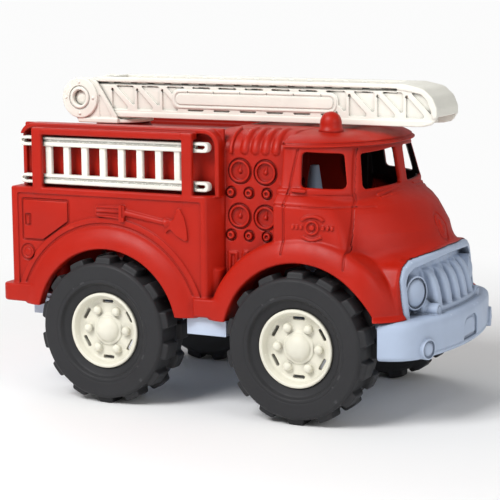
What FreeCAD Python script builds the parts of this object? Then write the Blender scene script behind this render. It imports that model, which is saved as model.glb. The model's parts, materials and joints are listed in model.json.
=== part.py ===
import FreeCAD, Part
import Sketcher
import math
import os

# Toy fire engine, an assembly of separate moulded pieces.
# Frame: millimetres, +X forward, +Y left, +Z up.  The pieces are drawn about a point
# on the ground midway between the axles; each piece's Placement then moves it along X
# so that the origin lies on the ground under the middle of the overall length.

V = FreeCAD.Vector
doc = FreeCAD.newDocument("ToyFireEngine")
sheet = doc.addObject("Spreadsheet::Sheet", "Dims")
XY, XZ, YZ = "XY_Plane", "XZ_Plane", "YZ_Plane"
pieces = []


# ======================================================================
# lengths that stay bound to the sheet
# ======================================================================
class Length:
    """A length that keeps both its number and its sheet expression."""

    def __init__(self, value, text=None):
        self.value = float(value)
        self.text = text or "(%.6f)" % self.value

    def __add__(self, other):
        other = as_length(other)
        return Length(self.value + other.value, "(%s + %s)" % (self.text, other.text))

    def __sub__(self, other):
        other = as_length(other)
        return Length(self.value - other.value, "(%s - %s)" % (self.text, other.text))

    def __rsub__(self, other):
        return as_length(other) - self

    def __mul__(self, other):
        other = as_length(other)
        return Length(self.value * other.value, "(%s * %s)" % (self.text, other.text))

    def __rmul__(self, other):
        return self * other

    def __truediv__(self, other):
        other = as_length(other)
        return Length(self.value / other.value, "(%s / %s)" % (self.text, other.text))

    def __neg__(self):
        return 0 - self


def as_length(number):
    return number if isinstance(number, Length) else Length(number)


aliases = []


def dim(alias, value, note):
    """Write one driving dimension to the next row of the sheet."""
    aliases.append(alias)
    row = len(aliases)
    sheet.set("A%d" % row, note)
    sheet.set("B%d" % row, str(value))
    sheet.setAlias("B%d" % row, alias)
    return Length(value, "Dims." + alias)


# ---- overall and running gear
front_x = dim("front_x", 140.0, "front of the bumper")
rear_x = dim("rear_x", -136.2, "back of the rear step")
axle_x = dim("axle_x", 62.65, "axle distance from mid-wheelbase")
axle_z = dim("axle_z", 44.0, "axle height")
tyre_r = dim("tyre_r", 44.0, "tyre radius over the blocks")
tyre_face = dim("tyre_face", 79.4, "outer sidewall from the centreline")
tyre_w = dim("tyre_w", 30.0, "tyre width")
tread_depth = dim("tread_depth", 3.2, "height of the tread blocks")
ring_r = dim("ring_r", 28.7, "inner radius of the flat sidewall ring")
hub_r = dim("hub_r", 22.7, "hub rim radius")
hub_face = dim("hub_face", 76.8, "hub rim from the centreline")
rod_r = dim("rod_r", 3.0, "axle rod radius")
gap = dim("gap", 0.06, "running clearance on radius")
wall = dim("wall", 2.5, "moulding wall thickness")
# ---- body
box_rear = dim("box_rear", -128.5, "rear face of the equipment box")
box_front = dim("box_front", 10.5, "front face of the equipment box")
box_half = dim("box_half", 72.3, "half width of the box")
sill_z = dim("sill_z", 56.6, "bottom edge of the body")
step_z = dim("step_z", 67.5, "top of the rear step")
ledge_z = dim("ledge_z", 127.0, "ledge under the side ladders")
rack_half = dim("rack_half", 60.0, "outer face of the rack back wall")
rim_half = dim("rim_half", 66.0, "outer edge of the rack rim")
rim_z = dim("rim_z", 165.0, "top of the rack rim")
deck_z = dim("deck_z", 156.0, "top of the hose-bed deck")
pump_half = dim("pump_half", 59.0, "half width across the pump panels")
pump_edge_z = dim("pump_edge_z", 152.0, "top edge of the pump panel")
pump_top_z = dim("pump_top_z", 164.0, "top of the pump section")
cab_rear = dim("cab_rear", 48.5, "rear edge of the cab")
cab_half = dim("cab_half", 70.0, "half width over the doors")
belt_z = dim("belt_z", 124.7, "door crease")
waist_z = dim("waist_z", 131.0, "window sill line")
glass_half = dim("glass_half", 63.0, "half width over the windows")
eave_z = dim("eave_z", 157.0, "roof edge")
nose_x = dim("nose_x", 124.8, "front of the nose above the grille")
bumper_z = dim("bumper_z", 62.0, "top of the bumper")
bumper_low = dim("bumper_low", 40.0, "bottom of the bumper")
arch_r = dim("arch_r", 47.5, "wheel arch opening radius")
arch_z = dim("arch_z", 45.0, "wheel arch centre height")
flare_r = dim("flare_r", 60.0, "outer radius of the arch flare")
flare_half = dim("flare_half", 76.0, "half width over the flares")
# ---- turntable and ladder
swivel_x = dim("swivel_x", -92.0, "turntable axis")
plinth_z = dim("plinth_z", 161.9, "top of the plinth")
disc_z = dim("disc_z", 164.4, "top of the turntable disc")
spigot_r = dim("spigot_r", 10.0, "turntable spigot radius")
pivot_x = dim("pivot_x", -111.0, "ladder raise axis")
pivot_z = dim("pivot_z", 177.3, "ladder raise axis height")
cheek_r = dim("cheek_r", 12.7, "cheek boss radius")
cheek_in = dim("cheek_in", 17.5, "inside of the cheeks")
cheek_out = dim("cheek_out", 20.5, "outside of the cheeks")
pin_r = dim("pin_r", 4.6, "ladder pin radius")
ladder_half = dim("ladder_half", 17.2, "ladder half width")
ladder_low = dim("ladder_low", 165.6, "ladder underside")
ladder_top = dim("ladder_top", 187.1, "ladder side panel top")
ladder_crown = dim("ladder_crown", 190.4, "ladder rail crown")
ladder_tip = dim("ladder_tip", 124.0, "ladder tip")
# ---- side ladders
side_y = dim("side_y", 65.9, "side ladder mid plane")
side_thick = dim("side_thick", 5.4, "side ladder thickness")
side_rear = dim("side_rear", -124.3, "side ladder rear tip")
side_front = dim("side_front", 4.4, "side ladder front tip")
side_low = dim("side_low", 128.8, "side ladder bottom")
side_high = dim("side_high", 157.3, "side ladder top")
rail_h = dim("rail_h", 5.8, "side ladder rail height")
doc.recompute()

# ---- places and sizes that several pieces share
ARCH_CENTRES = (-axle_x + 0.8, axle_x + 1.2)
BEACON_X, BEACON_Y, BEACON_STEM_R = 65, 32.0, 3.0
SADDLE_Y = 34.0
KEEPER_SCREW_DX = 6.6       # keeper screws ahead of and behind the axle
KEEPER_LOW = -6.6           # underside of the keeper from the axle
SCREW_R, SCREW_HEAD_R = 1.45, 2.8
PILOT_R, CLEAR_R = 1.5, 1.7
KEEPER_SCREW_R, KEEPER_HEAD_R = 1.15, 2.2
KEEPER_PILOT_R, KEEPER_CLEAR_R = 1.2, 1.45
PLATE_LOW = 53.6            # underside of the chassis plate
TONGUE_LOW = 51.0           # underside of the fascia tongue
WASHER_LOW = 148.0          # underside of the turntable retainer

# screw centres (x, y)
BODY_SCREWS = [(-120.0, -30.0), (-120.0, 30.0), (6.0, -62.0), (6.0, 62.0)]
FASCIA_SCREWS = [(106.0, -22.0), (106.0, 22.0)]
KEEPER_SCREWS = [(end * axle_x.value + side * KEEPER_SCREW_DX, y)
                 for end in (-1, 1) for side in (-1, 1) for y in (-SADDLE_Y, SADDLE_Y)]


# ======================================================================
# outlines: a loop is a circle or a list of corners.  A corner (x, y) starts a line to
# the next corner and (x, y, radius) starts an arc; a positive radius has its centre
# on the left of the direction of travel.
# ======================================================================
def circle(x, y, radius):
    return ("circle", x, y, radius)


def rect(x0, y0, x1, y1):
    return [(x0, y0), (x1, y0), (x1, y1), (x0, y1)]


def rounded(x0, y0, x1, y1, r):
    x0, y0, x1, y1, r = [as_length(number) for number in (x0, y0, x1, y1, r)]
    return [(x0 + r, y0), (x1 - r, y0, r), (x1, y0 + r), (x1, y1 - r, r),
            (x1 - r, y1), (x0 + r, y1, r), (x0, y1 - r), (x0, y0 + r, r)]


def mirrored(loop, axis):
    """The loop with coordinate number axis negated, walked backwards to keep its arcs."""
    out = []
    for i in reversed(range(len(loop))):
        x, y = loop[i][:2]
        corner = (0 - x, y) if axis == 0 else (x, 0 - y)
        out.append(corner + loop[i - 1][2:])
    return out


def symmetric(half, axis):
    """One loop from half an outline and its mirror image, closed by a line."""
    other = mirrored(half, axis)
    return half + other[:-1] + [other[-1][:2]]


def both(loop):
    """A loop of a YZ sketch, and the same loop on the other side of the centreline."""
    return [loop, mirrored(loop, 0)]


# ======================================================================
# sketches and features
# ======================================================================
def new_body(label):
    body = doc.addObject("PartDesign::Body", label)
    pieces.append(body)
    return body


def origin_feature(body, role):
    return [f for f in body.Origin.OriginFeatures if f.Role == role][0]


def add_arc(sk, start, end, radius):
    """Add an arc; return its index and its point numbers at start and end."""
    left = radius > 0
    size = abs(radius)
    (ax, ay), (bx, by) = start, end
    dx, dy = bx - ax, by - ay
    chord = math.hypot(dx, dy)
    rise = math.sqrt(max(size * size - chord * chord / 4.0, 0.0)) * (1.0 if left else -1.0)
    cx = (ax + bx) / 2.0 - dy / chord * rise
    cy = (ay + by) / 2.0 + dx / chord * rise
    first = math.atan2(ay - cy, ax - cx)
    last = math.atan2(by - cy, bx - cx)
    if not left:
        first, last = last, first
    if last < first:
        last += 2 * math.pi
    whole = Part.Circle(V(cx, cy, 0), V(0, 0, 1), size)
    index = sk.addGeometry(Part.ArcOfCircle(whole, first, last), False)
    return (index, 1, 2) if left else (index, 2, 1)


def sketch(body, plane, loops, offset=0):
    """A fully dimensioned sketch, with each length from the sheet bound to it."""
    sk = body.newObject("Sketcher::SketchObject", "Sketch")
    sk.AttachmentSupport = [(origin_feature(body, plane), "")]
    sk.MapMode = "FlatFace"
    offset = as_length(offset)
    sk.AttachmentOffset = FreeCAD.Placement(V(0, 0, offset.value), FreeCAD.Rotation())
    if "Dims" in offset.text:
        sk.setExpression("AttachmentOffset.Base.z", offset.text)

    def fix(kind, target, length):
        index = sk.addConstraint(Sketcher.Constraint(kind, *target, length.value))
        if "Dims" in length.text:
            name = "d%d" % index
            sk.renameConstraint(index, name)
            sk.setExpression("Constraints." + name, length.text)

    for loop in loops:
        if loop[0] == "circle":
            x, y, radius = [as_length(number) for number in loop[1:]]
            whole = Part.Circle(V(x.value, y.value, 0), V(0, 0, 1), radius.value)
            index = sk.addGeometry(whole, False)
            fix("DistanceX", (index, 3), x)
            fix("DistanceY", (index, 3), y)
            fix("Radius", (index,), radius)
            continue
        corners = [tuple(as_length(number) for number in corner) for corner in loop]
        edges = []
        for i, corner in enumerate(corners):
            following = corners[(i + 1) % len(corners)]
            start = (corner[0].value, corner[1].value)
            end = (following[0].value, following[1].value)
            if len(corner) == 2:
                line = Part.LineSegment(V(*start, 0), V(*end, 0))
                edges.append((sk.addGeometry(line, False), 1, 2))
            else:
                radius = corner[2]
                edges.append(add_arc(sk, start, end, radius.value))
                fix("Radius", edges[-1][:1], radius if radius.value > 0 else -radius)
        for i, (index, start, end) in enumerate(edges):
            following, joint, _ = edges[(i + 1) % len(edges)]
            sk.addConstraint(Sketcher.Constraint("Coincident", index, end, following, joint))
            fix("DistanceX", (index, start), corners[i][0])
            fix("DistanceY", (index, start), corners[i][1])
    return sk


def extrude(body, kind, plane, loops, low, high, name):
    """Pad or pocket between two offsets along +X, +Y or +Z, square to the plane.
    The XZ plane faces -Y, so its offset is measured the other way."""
    low, high = as_length(low), as_length(high)
    if plane == XZ:
        low, high = -high, -low
    profile = sketch(body, plane, loops, low)
    feature = body.newObject("PartDesign::" + kind, name)
    feature.Profile = profile
    length = high - low
    feature.Length = length.value
    if "Dims" in length.text:
        feature.setExpression("Length", length.text)
    feature.Reversed = (kind == "Pocket")
    return feature


def pad(body, plane, loops, low, high, name):
    return extrude(body, "Pad", plane, loops, low, high, name)


def cut(body, plane, loops, low, high, name):
    """A pocket, checked to take material away."""
    doc.recompute()
    before = body.Shape.Volume
    feature = extrude(body, "Pocket", plane, loops, low, high, name)
    doc.recompute()
    if not body.Shape.Volume < before - 1e-4:
        raise RuntimeError("pocket %s cut nothing in %s" % (feature.Name, body.Label))
    return feature


def revolve(body, plane, loop, name, angle=360.0):
    """Turn one loop about the vertical axis of its sketch."""
    profile = sketch(body, plane, [loop])
    feature = body.newObject("PartDesign::Revolution", name)
    feature.Profile = profile
    feature.ReferenceAxis = (profile, ["V_Axis"])
    feature.Angle = angle
    doc.recompute()
    return feature


def ring(body, feature, number):
    """Repeat a feature evenly about the Y axis."""
    pattern = body.newObject("PartDesign::PolarPattern", "PolarPattern")
    pattern.Originals = [feature]
    pattern.Axis = (origin_feature(body, "Y_Axis"), [""])
    pattern.Angle = 360
    pattern.Occurrences = number
    body.Tip = pattern
    doc.recompute()


# ======================================================================
# body_shell: the one red hollow moulding
# ======================================================================
def shell_box(shell):
    """Equipment box, steps, ladder racks and turntable plinth."""
    # the front corners are cut back
    outline = [(box_rear, -box_half), (box_front - 6.7, -box_half), (box_front, -rack_half)]
    pad(shell, XY, [symmetric(outline, 1)], sill_z, ledge_z, "EquipmentBox")
    pad(shell, XY, [rounded(rear_x, -box_half, -108, box_half, 5)], sill_z, step_z, "RearStep")
    pad(shell, XY, [rect(-4, -box_half, 17, box_half)], sill_z, step_z, "RunningBoards")
    # rack walls, deck and rims: one channel section
    channel = [(rack_half, 120), (rack_half, rim_z - wall), (rim_half, rim_z - wall),
               (rim_half, rim_z), (rack_half - wall, rim_z), (rack_half - wall, deck_z)]
    rack_rear, rack_front = box_rear + 2.5, box_front - 0.5
    pad(shell, YZ, [symmetric(channel, 0)], rack_rear, rack_front, "RackAndDeck")
    # front returns of the rims, and short rear returns above the side ladders
    front_return = rect(rack_half - 1, 120, rim_half, rim_z)
    pad(shell, YZ, both(front_return), box_front - 3.0, rack_front, "RimFront")
    rear_return = rect(rack_half - 1, side_high + 1.0, rim_half, rim_z)
    pad(shell, YZ, both(rear_return), rack_rear, box_rear + 5.0, "RimRear")
    # two posts a side, the bar that joins them, and the seats of the side ladders
    post_rears, post_w = (-113.7, -11.3), 6.7
    post = rect(69.1, ledge_z - 4, box_half, rim_z - wall)
    for x in post_rears:
        pad(shell, YZ, both(post), x, x + post_w, "RackPost")
    bar = rect(rim_half - 3, side_high + 0.9, box_half, rim_z - wall)
    pad(shell, YZ, both(bar), post_rears[0], post_rears[1] + post_w, "RackBar")
    seat = rect(rack_half - 1, ledge_z - 1, 69.5, side_low - 0.05)
    for x in post_rears:
        pad(shell, YZ, both(seat), x, x + post_w, "LadderSeat")
    pad(shell, XY, [circle(swivel_x, 0, 21.5)], deck_z - 0.5, 158.2, "PlinthFoot")
    pad(shell, XY, [circle(swivel_x, 0, 16.6)], deck_z - 0.5, plinth_z, "Plinth")


def shell_pump(shell):
    """Pump section with rolled shoulders and five hoops over each."""
    section = [(pump_half, sill_z), (pump_half, pump_edge_z, 22), (42, pump_top_z)]
    pad(shell, YZ, [symmetric(section, 0)], box_front - 5, cab_rear + 1, "PumpSection")
    hoop = [(-pump_half - 0.2, pump_edge_z - 0.3, -22), (-41, pump_top_z + 0.9),
            (-41, pump_top_z - 3), (-pump_half + 3, pump_edge_z - 0.3)]
    for x in (13.3, 20.2, 27.0, 33.8, 40.6):
        pad(shell, YZ, both(hoop), x, x + 3.2, "Hoop")


def shell_cab(shell):
    """Cab solid, then the cuts that shape it in side view and in plan."""
    # side view (x, z) of the lower half with its curved nose
    lower = [(cab_rear, sill_z), (107, sill_z), (107, bumper_z + 0.05),
             (122.6, bumper_z + 0.05), (nose_x, 97, 40), (118.6, 110, 26),
             (105, 127.5), (97, waist_z), (cab_rear, waist_z)]
    pad(shell, XZ, [lower], -cab_half, cab_half, "CabLower")
    # greenhouse with a crowned roof and a gutter along its edge
    section = [(66, 126), (glass_half - 2.0, eave_z, 303)]
    pad(shell, YZ, [symmetric(section, 0)], cab_rear, 103, "Greenhouse")
    gutter = rect(glass_half - 5, 156, glass_half - 0.7, 157.6)
    pad(shell, YZ, both(gutter), cab_rear, 100, "Gutter")
    # slope between the door crease and the windows
    slope = [(cab_half + 2, belt_z), (cab_half, belt_z), (glass_half + 1, waist_z + 0.01),
             (cab_half + 2, waist_z + 0.01)]
    cut(shell, YZ, both(slope), cab_rear - 0.5, 126, "Shoulder")
    # windscreen plane and the droop of the roof front
    screen = [(97, waist_z), (110, waist_z), (110, 155), (93.6, 155)]
    cut(shell, XZ, [screen], -80, 80, "Screen")
    droop = [(84, 166), (84, 163.3), (93.5, 161.0, -11), (98.2, 155.8), (105, 155.8),
             (105, 166)]
    cut(shell, XZ, [droop], -80, 80, "RoofDroop")
    # plan shapes: name, waste outside the right half, bottom and top
    nose = [(96, -80), (130, -80), (130, 0), (nose_x + 0.2, 0, -163), (116, -52, -27),
            (97, -70.05), (96, -70.05)]
    glass = [(50, -80), (110, -80), (110, 0), (97.4, 0, -110.4), (89.2, -41, -42),
             (72, -58.6, -70), (50, -65)]
    roof = [(50, -80), (110, -80), (110, 0), (98.4, 0, -73.2), (86.4, -40, -50),
            (70, -55.8, -62), (50, -62)]
    for name, plan, low, high in (("NosePlan", nose, 50, 133),
                                  ("ScreenPlan", glass, waist_z + 0.2, 155.5),
                                  ("RoofPlan", roof, 154, 170)):
        cut(shell, XY, [plan], low, high, name + "Right")
        cut(shell, XY, [mirrored(plan, 1)], low, high, name + "Left")


def half_chord(radius):
    """Half width, at the sill, of a circle about the wheel arch centre."""
    return radius * math.cos(math.asin((sill_z.value - arch_z.value) / radius.value))


def shell_flares(shell):
    """Wheel arch flares in two steps, cut off level with the sill."""
    for x in ARCH_CENTRES:
        for name, radius, half in (("Flare", flare_r, flare_half - 1.8),
                                   ("FlareCrown", flare_r - 3.5, flare_half)):
            reach = half_chord(radius)
            flare = [(x + reach, sill_z, radius), (x, arch_z + radius, radius),
                     (x - reach, sill_z)]
            pad(shell, XZ, [flare], -half, half, name)


def shell_nose(shell):
    """Rebate for the grille moulding, and the domed nose above the fenders."""
    rebate = [(128, 61.2), (113.54, 61.2), (113.54, 61.19, -194.94)]
    cut(shell, XY, [symmetric(rebate, 1)], bumper_z - 6, 96.0, "GrilleRebate")
    cut(shell, XY, [rect(105, -80, 150, 80)], 50, bumper_z + 0.05, "BumperRelief")
    # clear the blocky nose (x, z) to make room for the dome
    clear = [(92, 98), (130, 98), (130, 133), (97.5, 133), (97.5, waist_z + 0.01),
             (60, waist_z + 0.01), (60, 127), (82, 122), (92, 113)]
    cut(shell, XZ, [clear], -80, 80, "NoseClear")
    # each station is an arc in plan that starts and ends at dome_rear
    dome_rear = 60.0
    stations = (  # z, front x, half width
        (97.5, 125.8, 70.0), (107.7, 121.3, 70.0), (119.0, 114.3, 70.0),
        (126.0, 106.6, 68.6), (131.0, 98.6, 64.6))
    sections = []
    for z, front, half in stations:
        depth = front - dome_rear
        radius = (half ** 2 + depth ** 2) / (2.0 * depth)
        arc = [(dome_rear, -half, radius), (dome_rear, half)]
        sections.append(sketch(shell, XY, [arc], z))
    loft = shell.newObject("PartDesign::AdditiveLoft", "NoseDome")
    loft.Profile = sections[0]
    loft.Sections = sections[1:]
    loft.Ruled = False


def shell_hollow(shell):
    """Hollow interior, from the rear forward and up."""
    box = [(box_rear + wall, wall - box_half), (box_front - 9.6, wall - box_half),
           (box_front - wall, 3.0 - rack_half)]
    cut(shell, XY, [symmetric(box, 1)], 50, ledge_z - wall, "HollowBox")
    deck_half = rack_half - 2 * wall
    deck = rect(box_rear + 2.5 + wall, -deck_half, 30, deck_half)
    cut(shell, XY, [deck], 100, deck_z - wall, "HollowDeck")
    pump = [(pump_half - wall, 50), (pump_half - wall, pump_edge_z - 1, 22),
            (41, pump_top_z - 2.6)]
    cut(shell, YZ, [symmetric(pump, 0)], box_front, cab_rear + 3, "HollowPump")
    # right halves of the cab cavities in plan: name, outline, bottom, top
    for name, half, low, high in (
            ("HollowCabLow", [(cab_rear + wall, -67.4), (90, -67.4, 26), (106, -58),
                              (109.5, -52, 190)], 50, 95.5),
            ("HollowCabWaist", [(cab_rear, -61.5), (63.3, -61.5, 69)], 92, 126.5),
            ("HollowNose", [(70, -52.5), (90, -52.56, 72)], 92, 112),
            ("HollowGreenhouse", [(cab_rear - 2, -60.5), (50, -60.5, 70), (70, -55, 42),
                                  (85.4, -38.5, 135)], 126, 155)):
        cut(shell, XY, [symmetric(half, 1)], low, high, name)
    roof = [(50, 150), (50, 156.2), (30, 158.4, 460)]
    cut(shell, YZ, [symmetric(roof, 0)], cab_rear - 2, 78.0, "HollowRoof")


def shell_openings(shell):
    """Wheel arches, windows, turntable bore, beacon sockets and screw bosses."""
    for x in ARCH_CENTRES:
        reach = half_chord(arch_r) + 0.01
        radius = arch_r + 0.02
        arch = [(x - reach, 40), (x + reach, 40), (x + reach, sill_z, radius),
                (x, arch_z + arch_r, radius), (x - reach, sill_z)]
        cut(shell, XZ, [arch], -80, 80, "WheelArch")
    window = [(62.2, 134.0), (83.6, 133.4), (79.6, 152.4), (60.8, 153.6)]
    cut(shell, XZ, [window], -80, 80, "SideWindows")
    pane = [(4.2, 132.0), (44.5, 131.8), (39, 152.2), (4.2, 153.2)]
    cut(shell, YZ, both(pane), 84, 112, "WindscreenPanes")
    cut(shell, XY, [circle(swivel_x, 0, spigot_r + gap)], 150, 170, "TurntableBore")
    sockets = [circle(BEACON_X, y, BEACON_STEM_R) for y in (-BEACON_Y, BEACON_Y)]
    cut(shell, XY, sockets, 150, 170, "BeaconSockets")
    # chassis screw bosses, on the rear wall and behind the running boards
    boss_top, corner_r = 84, 1.5
    rear = [rounded(box_rear + 1, y - 5, -115, y + 5, corner_r) for x, y in BODY_SCREWS[:2]]
    pad(shell, XY, rear, sill_z, boss_top, "RearBosses")
    sides = [rounded(1, y - 7, 10.4, y + 7, corner_r) for y in (-64, 64)]
    pad(shell, XY, sides, sill_z, boss_top, "SideBosses")
    cut(shell, XY, [circle(x, y, PILOT_R) for x, y in BODY_SCREWS], 50, 76, "BossHoles")


def body_shell():
    shell = new_body("body_shell")
    shell_box(shell)
    shell_pump(shell)
    shell_cab(shell)
    shell_flares(shell)
    shell_nose(shell)
    shell_hollow(shell)
    shell_openings(shell)


# ======================================================================
# beacons: push-in red domes
# ======================================================================
def beacons():
    profile = [  # radius, z
        (0, 151.5), (BEACON_STEM_R, 151.5), (BEACON_STEM_R, 162.2), (6.8, 162.2),
        (7.0, 162.9), (5.6, 164.6), (5.5, 169, 5.5), (0, 174.5)]
    for label, y in (("right_beacon", -BEACON_Y), ("left_beacon", BEACON_Y)):
        beacon = new_body(label)
        revolve(beacon, XZ, profile, "Dome")
        beacon.Placement.Base = V(BEACON_X, y, 0)


# ======================================================================
# chassis tray with its axle saddles, side sills and centre post
# ======================================================================
def chassis_tray():
    tray = new_body("chassis_tray")
    right_edge = [(-127, -44), (-111, -44), (-108, -40), (-14, -40), (-10, -44),
                  (-10, -69.5), (15.5, -69.5), (15.5, -44), (19, -40), (112, -40)]
    pad(tray, XY, [symmetric(right_edge, 1)], PLATE_LOW, sill_z - 0.05, "Plate")
    pad(tray, XY, [rect(-10, -69.5, 15.5, 69.5)], 45.5, 54, "Sill")
    pad(tray, XY, [rect(-132, -46, -127, 46), rect(-128, -46, -112, 46)], 44, 54, "RearLug")
    sill_pockets = [rect(-7.5, -67, 13, -6), rect(-7.5, 6, 13, 67)]
    cut(tray, XY, sill_pockets, 40, PLATE_LOW, "SillHollow")
    cut(tray, XY, [rect(-129.5, -43.5, -114, 43.5)], 40, PLATE_LOW, "LugHollow")
    axles = (-axle_x, axle_x)
    for x in axles:
        for y in (-SADDLE_Y, SADDLE_Y):
            block = rect(x - 9, y - 5, x + 9, y + 5)
            pad(tray, XY, [block], axle_z - 4.0, 54, "Saddle")
    # the slots that the rods drop into, rounded at the top
    slot_r = rod_r + gap
    for x in axles:
        slot = [(x - slot_r, 40), (x + slot_r, 40), (x + slot_r, axle_z, slot_r),
                (x - slot_r, axle_z)]
        cut(tray, XZ, [slot], -45, 45, "RodSlot")
    # centre post: a cylinder with a tapered top
    post_x, post_r, post_top_r = 40, 8.5, 2.7
    pad(tray, XY, [circle(post_x, 0, post_r)], 54, 100, "PostFoot")
    doc.recompute()
    cone = tray.newObject("PartDesign::AdditiveCone", "PostTop")
    cone.AttachmentSupport = [(origin_feature(tray, XY), "")]
    cone.MapMode = "FlatFace"
    cone.AttachmentOffset = FreeCAD.Placement(V(post_x, 0, 99.9), FreeCAD.Rotation())
    cone.Radius1 = post_r
    cone.Radius2 = post_top_r
    cone.Height = 39.6
    for name, places, radius, low, high in (
            ("ScrewHoles", BODY_SCREWS, CLEAR_R, 52, 60),
            ("GrilleScrewHoles", FASCIA_SCREWS, PILOT_R, 52, 60),
            ("KeeperPilotHoles", KEEPER_SCREWS, KEEPER_PILOT_R, 36, 52)):
        cut(tray, XY, [circle(x, y, radius) for x, y in places], low, high, name)


# ======================================================================
# front_fascia: bumper, grille and lamps in one moulding
# ======================================================================
def front_fascia():
    fascia = new_body("front_fascia")
    # grille plate curved in plan, then its rounded top outline
    plate = [(113.67, -61.0), (119.0, -61.0, 200.1), (119.0, 61.0), (113.67, 61.0, -195.0)]
    pad(fascia, XY, [plate], bumper_z - 2.5, 98.0, "GrillePlate")
    waste = [(-70, 100), (-70, 83), (-61, 83), (-61, 84, -12.5), (-50.5, 94.3, -900)]
    cut(fascia, YZ, [symmetric(waste, 0)], 105, 135, "GrilleOutline")
    recess = [(117.55, -54.5), (140, -54.5), (140, 54.5), (117.55, 54.5, -196.8)]
    cut(fascia, XY, [recess], 64.0, 89.8, "GrilleRecess")
    # upright bars spaced along an arc in plan
    arc_x, arc_radius, bar_r = -71.5, 198.0, 2.9
    for k in range(5):
        angle = math.radians(-7.5 + 3.75 * k)
        bar = circle(arc_x + arc_radius * math.cos(angle), arc_radius * math.sin(angle), bar_r)
        pad(fascia, XY, [bar], 63.5, 89.0, "GrilleBar")
    for side in (-1, 1):
        pad(fascia, YZ, [circle(side * 45.4, 75.0, 8.8)], 120.4, 125.0, "HeadLamp")
        pad(fascia, YZ, [circle(side * 33.6, 64.3, 4.1)], 122.4, 132.0, "GrilleBullet")
    # bumper: a bent wall with a top plate
    outer = symmetric([(110, -71.4), (118, -71.4, 13), (129.5, -60.5, 182)], 1)
    inner = symmetric([(110, 67.4), (117, 67.4, -9.5), (125.4, 58.6, -178)], 1)
    pad(fascia, XY, [outer], bumper_z - 2.5, bumper_z, "BumperTop")
    pad(fascia, XY, [outer + inner], bumper_low, bumper_z, "BumperWall")
    for side in (-1, 1):
        pad(fascia, YZ, [circle(side * 52.5, 45.8, 5.0)], 128.0, 133.2, "FogLamp")
    plate_blank = [(-7, 43), (7, 43), (7, 54, 7.6), (-7, 54)]
    pad(fascia, YZ, [plate_blank], 134.5, front_x, "PlateBlank")
    # tongue under the chassis plate, and the web that joins it to the bumper
    pad(fascia, XY, [rect(99, -30, 114, 30)], TONGUE_LOW, PLATE_LOW - 0.05, "Tongue")
    pad(fascia, XY, [rect(112.1, -46, 116, 46)], TONGUE_LOW, bumper_z - 1, "Web")
    holes = [circle(x, y, CLEAR_R) for x, y in FASCIA_SCREWS]
    cut(fascia, XY, holes, 48, PLATE_LOW, "ScrewHoles")


# ======================================================================
# turntable with the two yoke cheeks, and its retainer under the deck
# ======================================================================
def turntable():
    table = new_body("turntable")
    table_low, washer_top = plinth_z + 0.05, 150.6
    pad(table, XY, [circle(swivel_x, 0, 19.0)], table_low, disc_z, "Disc")
    yoke_base = rounded(-119, -cheek_out, -84.5, cheek_out, 3)
    pad(table, XY, [yoke_base], table_low, disc_z, "YokeBase")
    pad(table, XY, [circle(swivel_x, 0, spigot_r)], washer_top, plinth_z + 1, "Spigot")
    web = [(-119, table_low), (-85.0, table_low), (-86.0, 165.7), (-99.6, 187.6),
           (-105.5, 188.6), (-122.4, 172)]
    for low, high in ((-cheek_out, -cheek_in), (cheek_in, cheek_out)):
        pad(table, XZ, [web], low, high, "CheekWeb")
        pad(table, XZ, [circle(pivot_x, pivot_z, cheek_r)], low, high, "CheekBoss")
    for low, high in ((-cheek_out - 0.6, -cheek_out + 0.2), (cheek_out - 0.2, cheek_out + 0.6)):
        pad(table, XZ, [circle(pivot_x, pivot_z, 6.4)], low, high, "CheekRing")
    cut(table, XZ, [circle(pivot_x, pivot_z, pin_r + gap)], -25, 25, "PinBore")
    cut(table, XY, [circle(swivel_x, 0, PILOT_R)], 140, 160, "ScrewPilot")

    retainer = new_body("turntable_retainer")
    rim = circle(swivel_x, 0, 15.0)
    pad(retainer, XY, [rim], WASHER_LOW, washer_top, "Washer")
    pad(retainer, XY, [rim, circle(swivel_x, 0, spigot_r)], washer_top - 0.1, 153.4, "Skirt")
    cut(retainer, XY, [circle(swivel_x, 0, CLEAR_R)], 140, 152, "ScrewHole")


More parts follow.
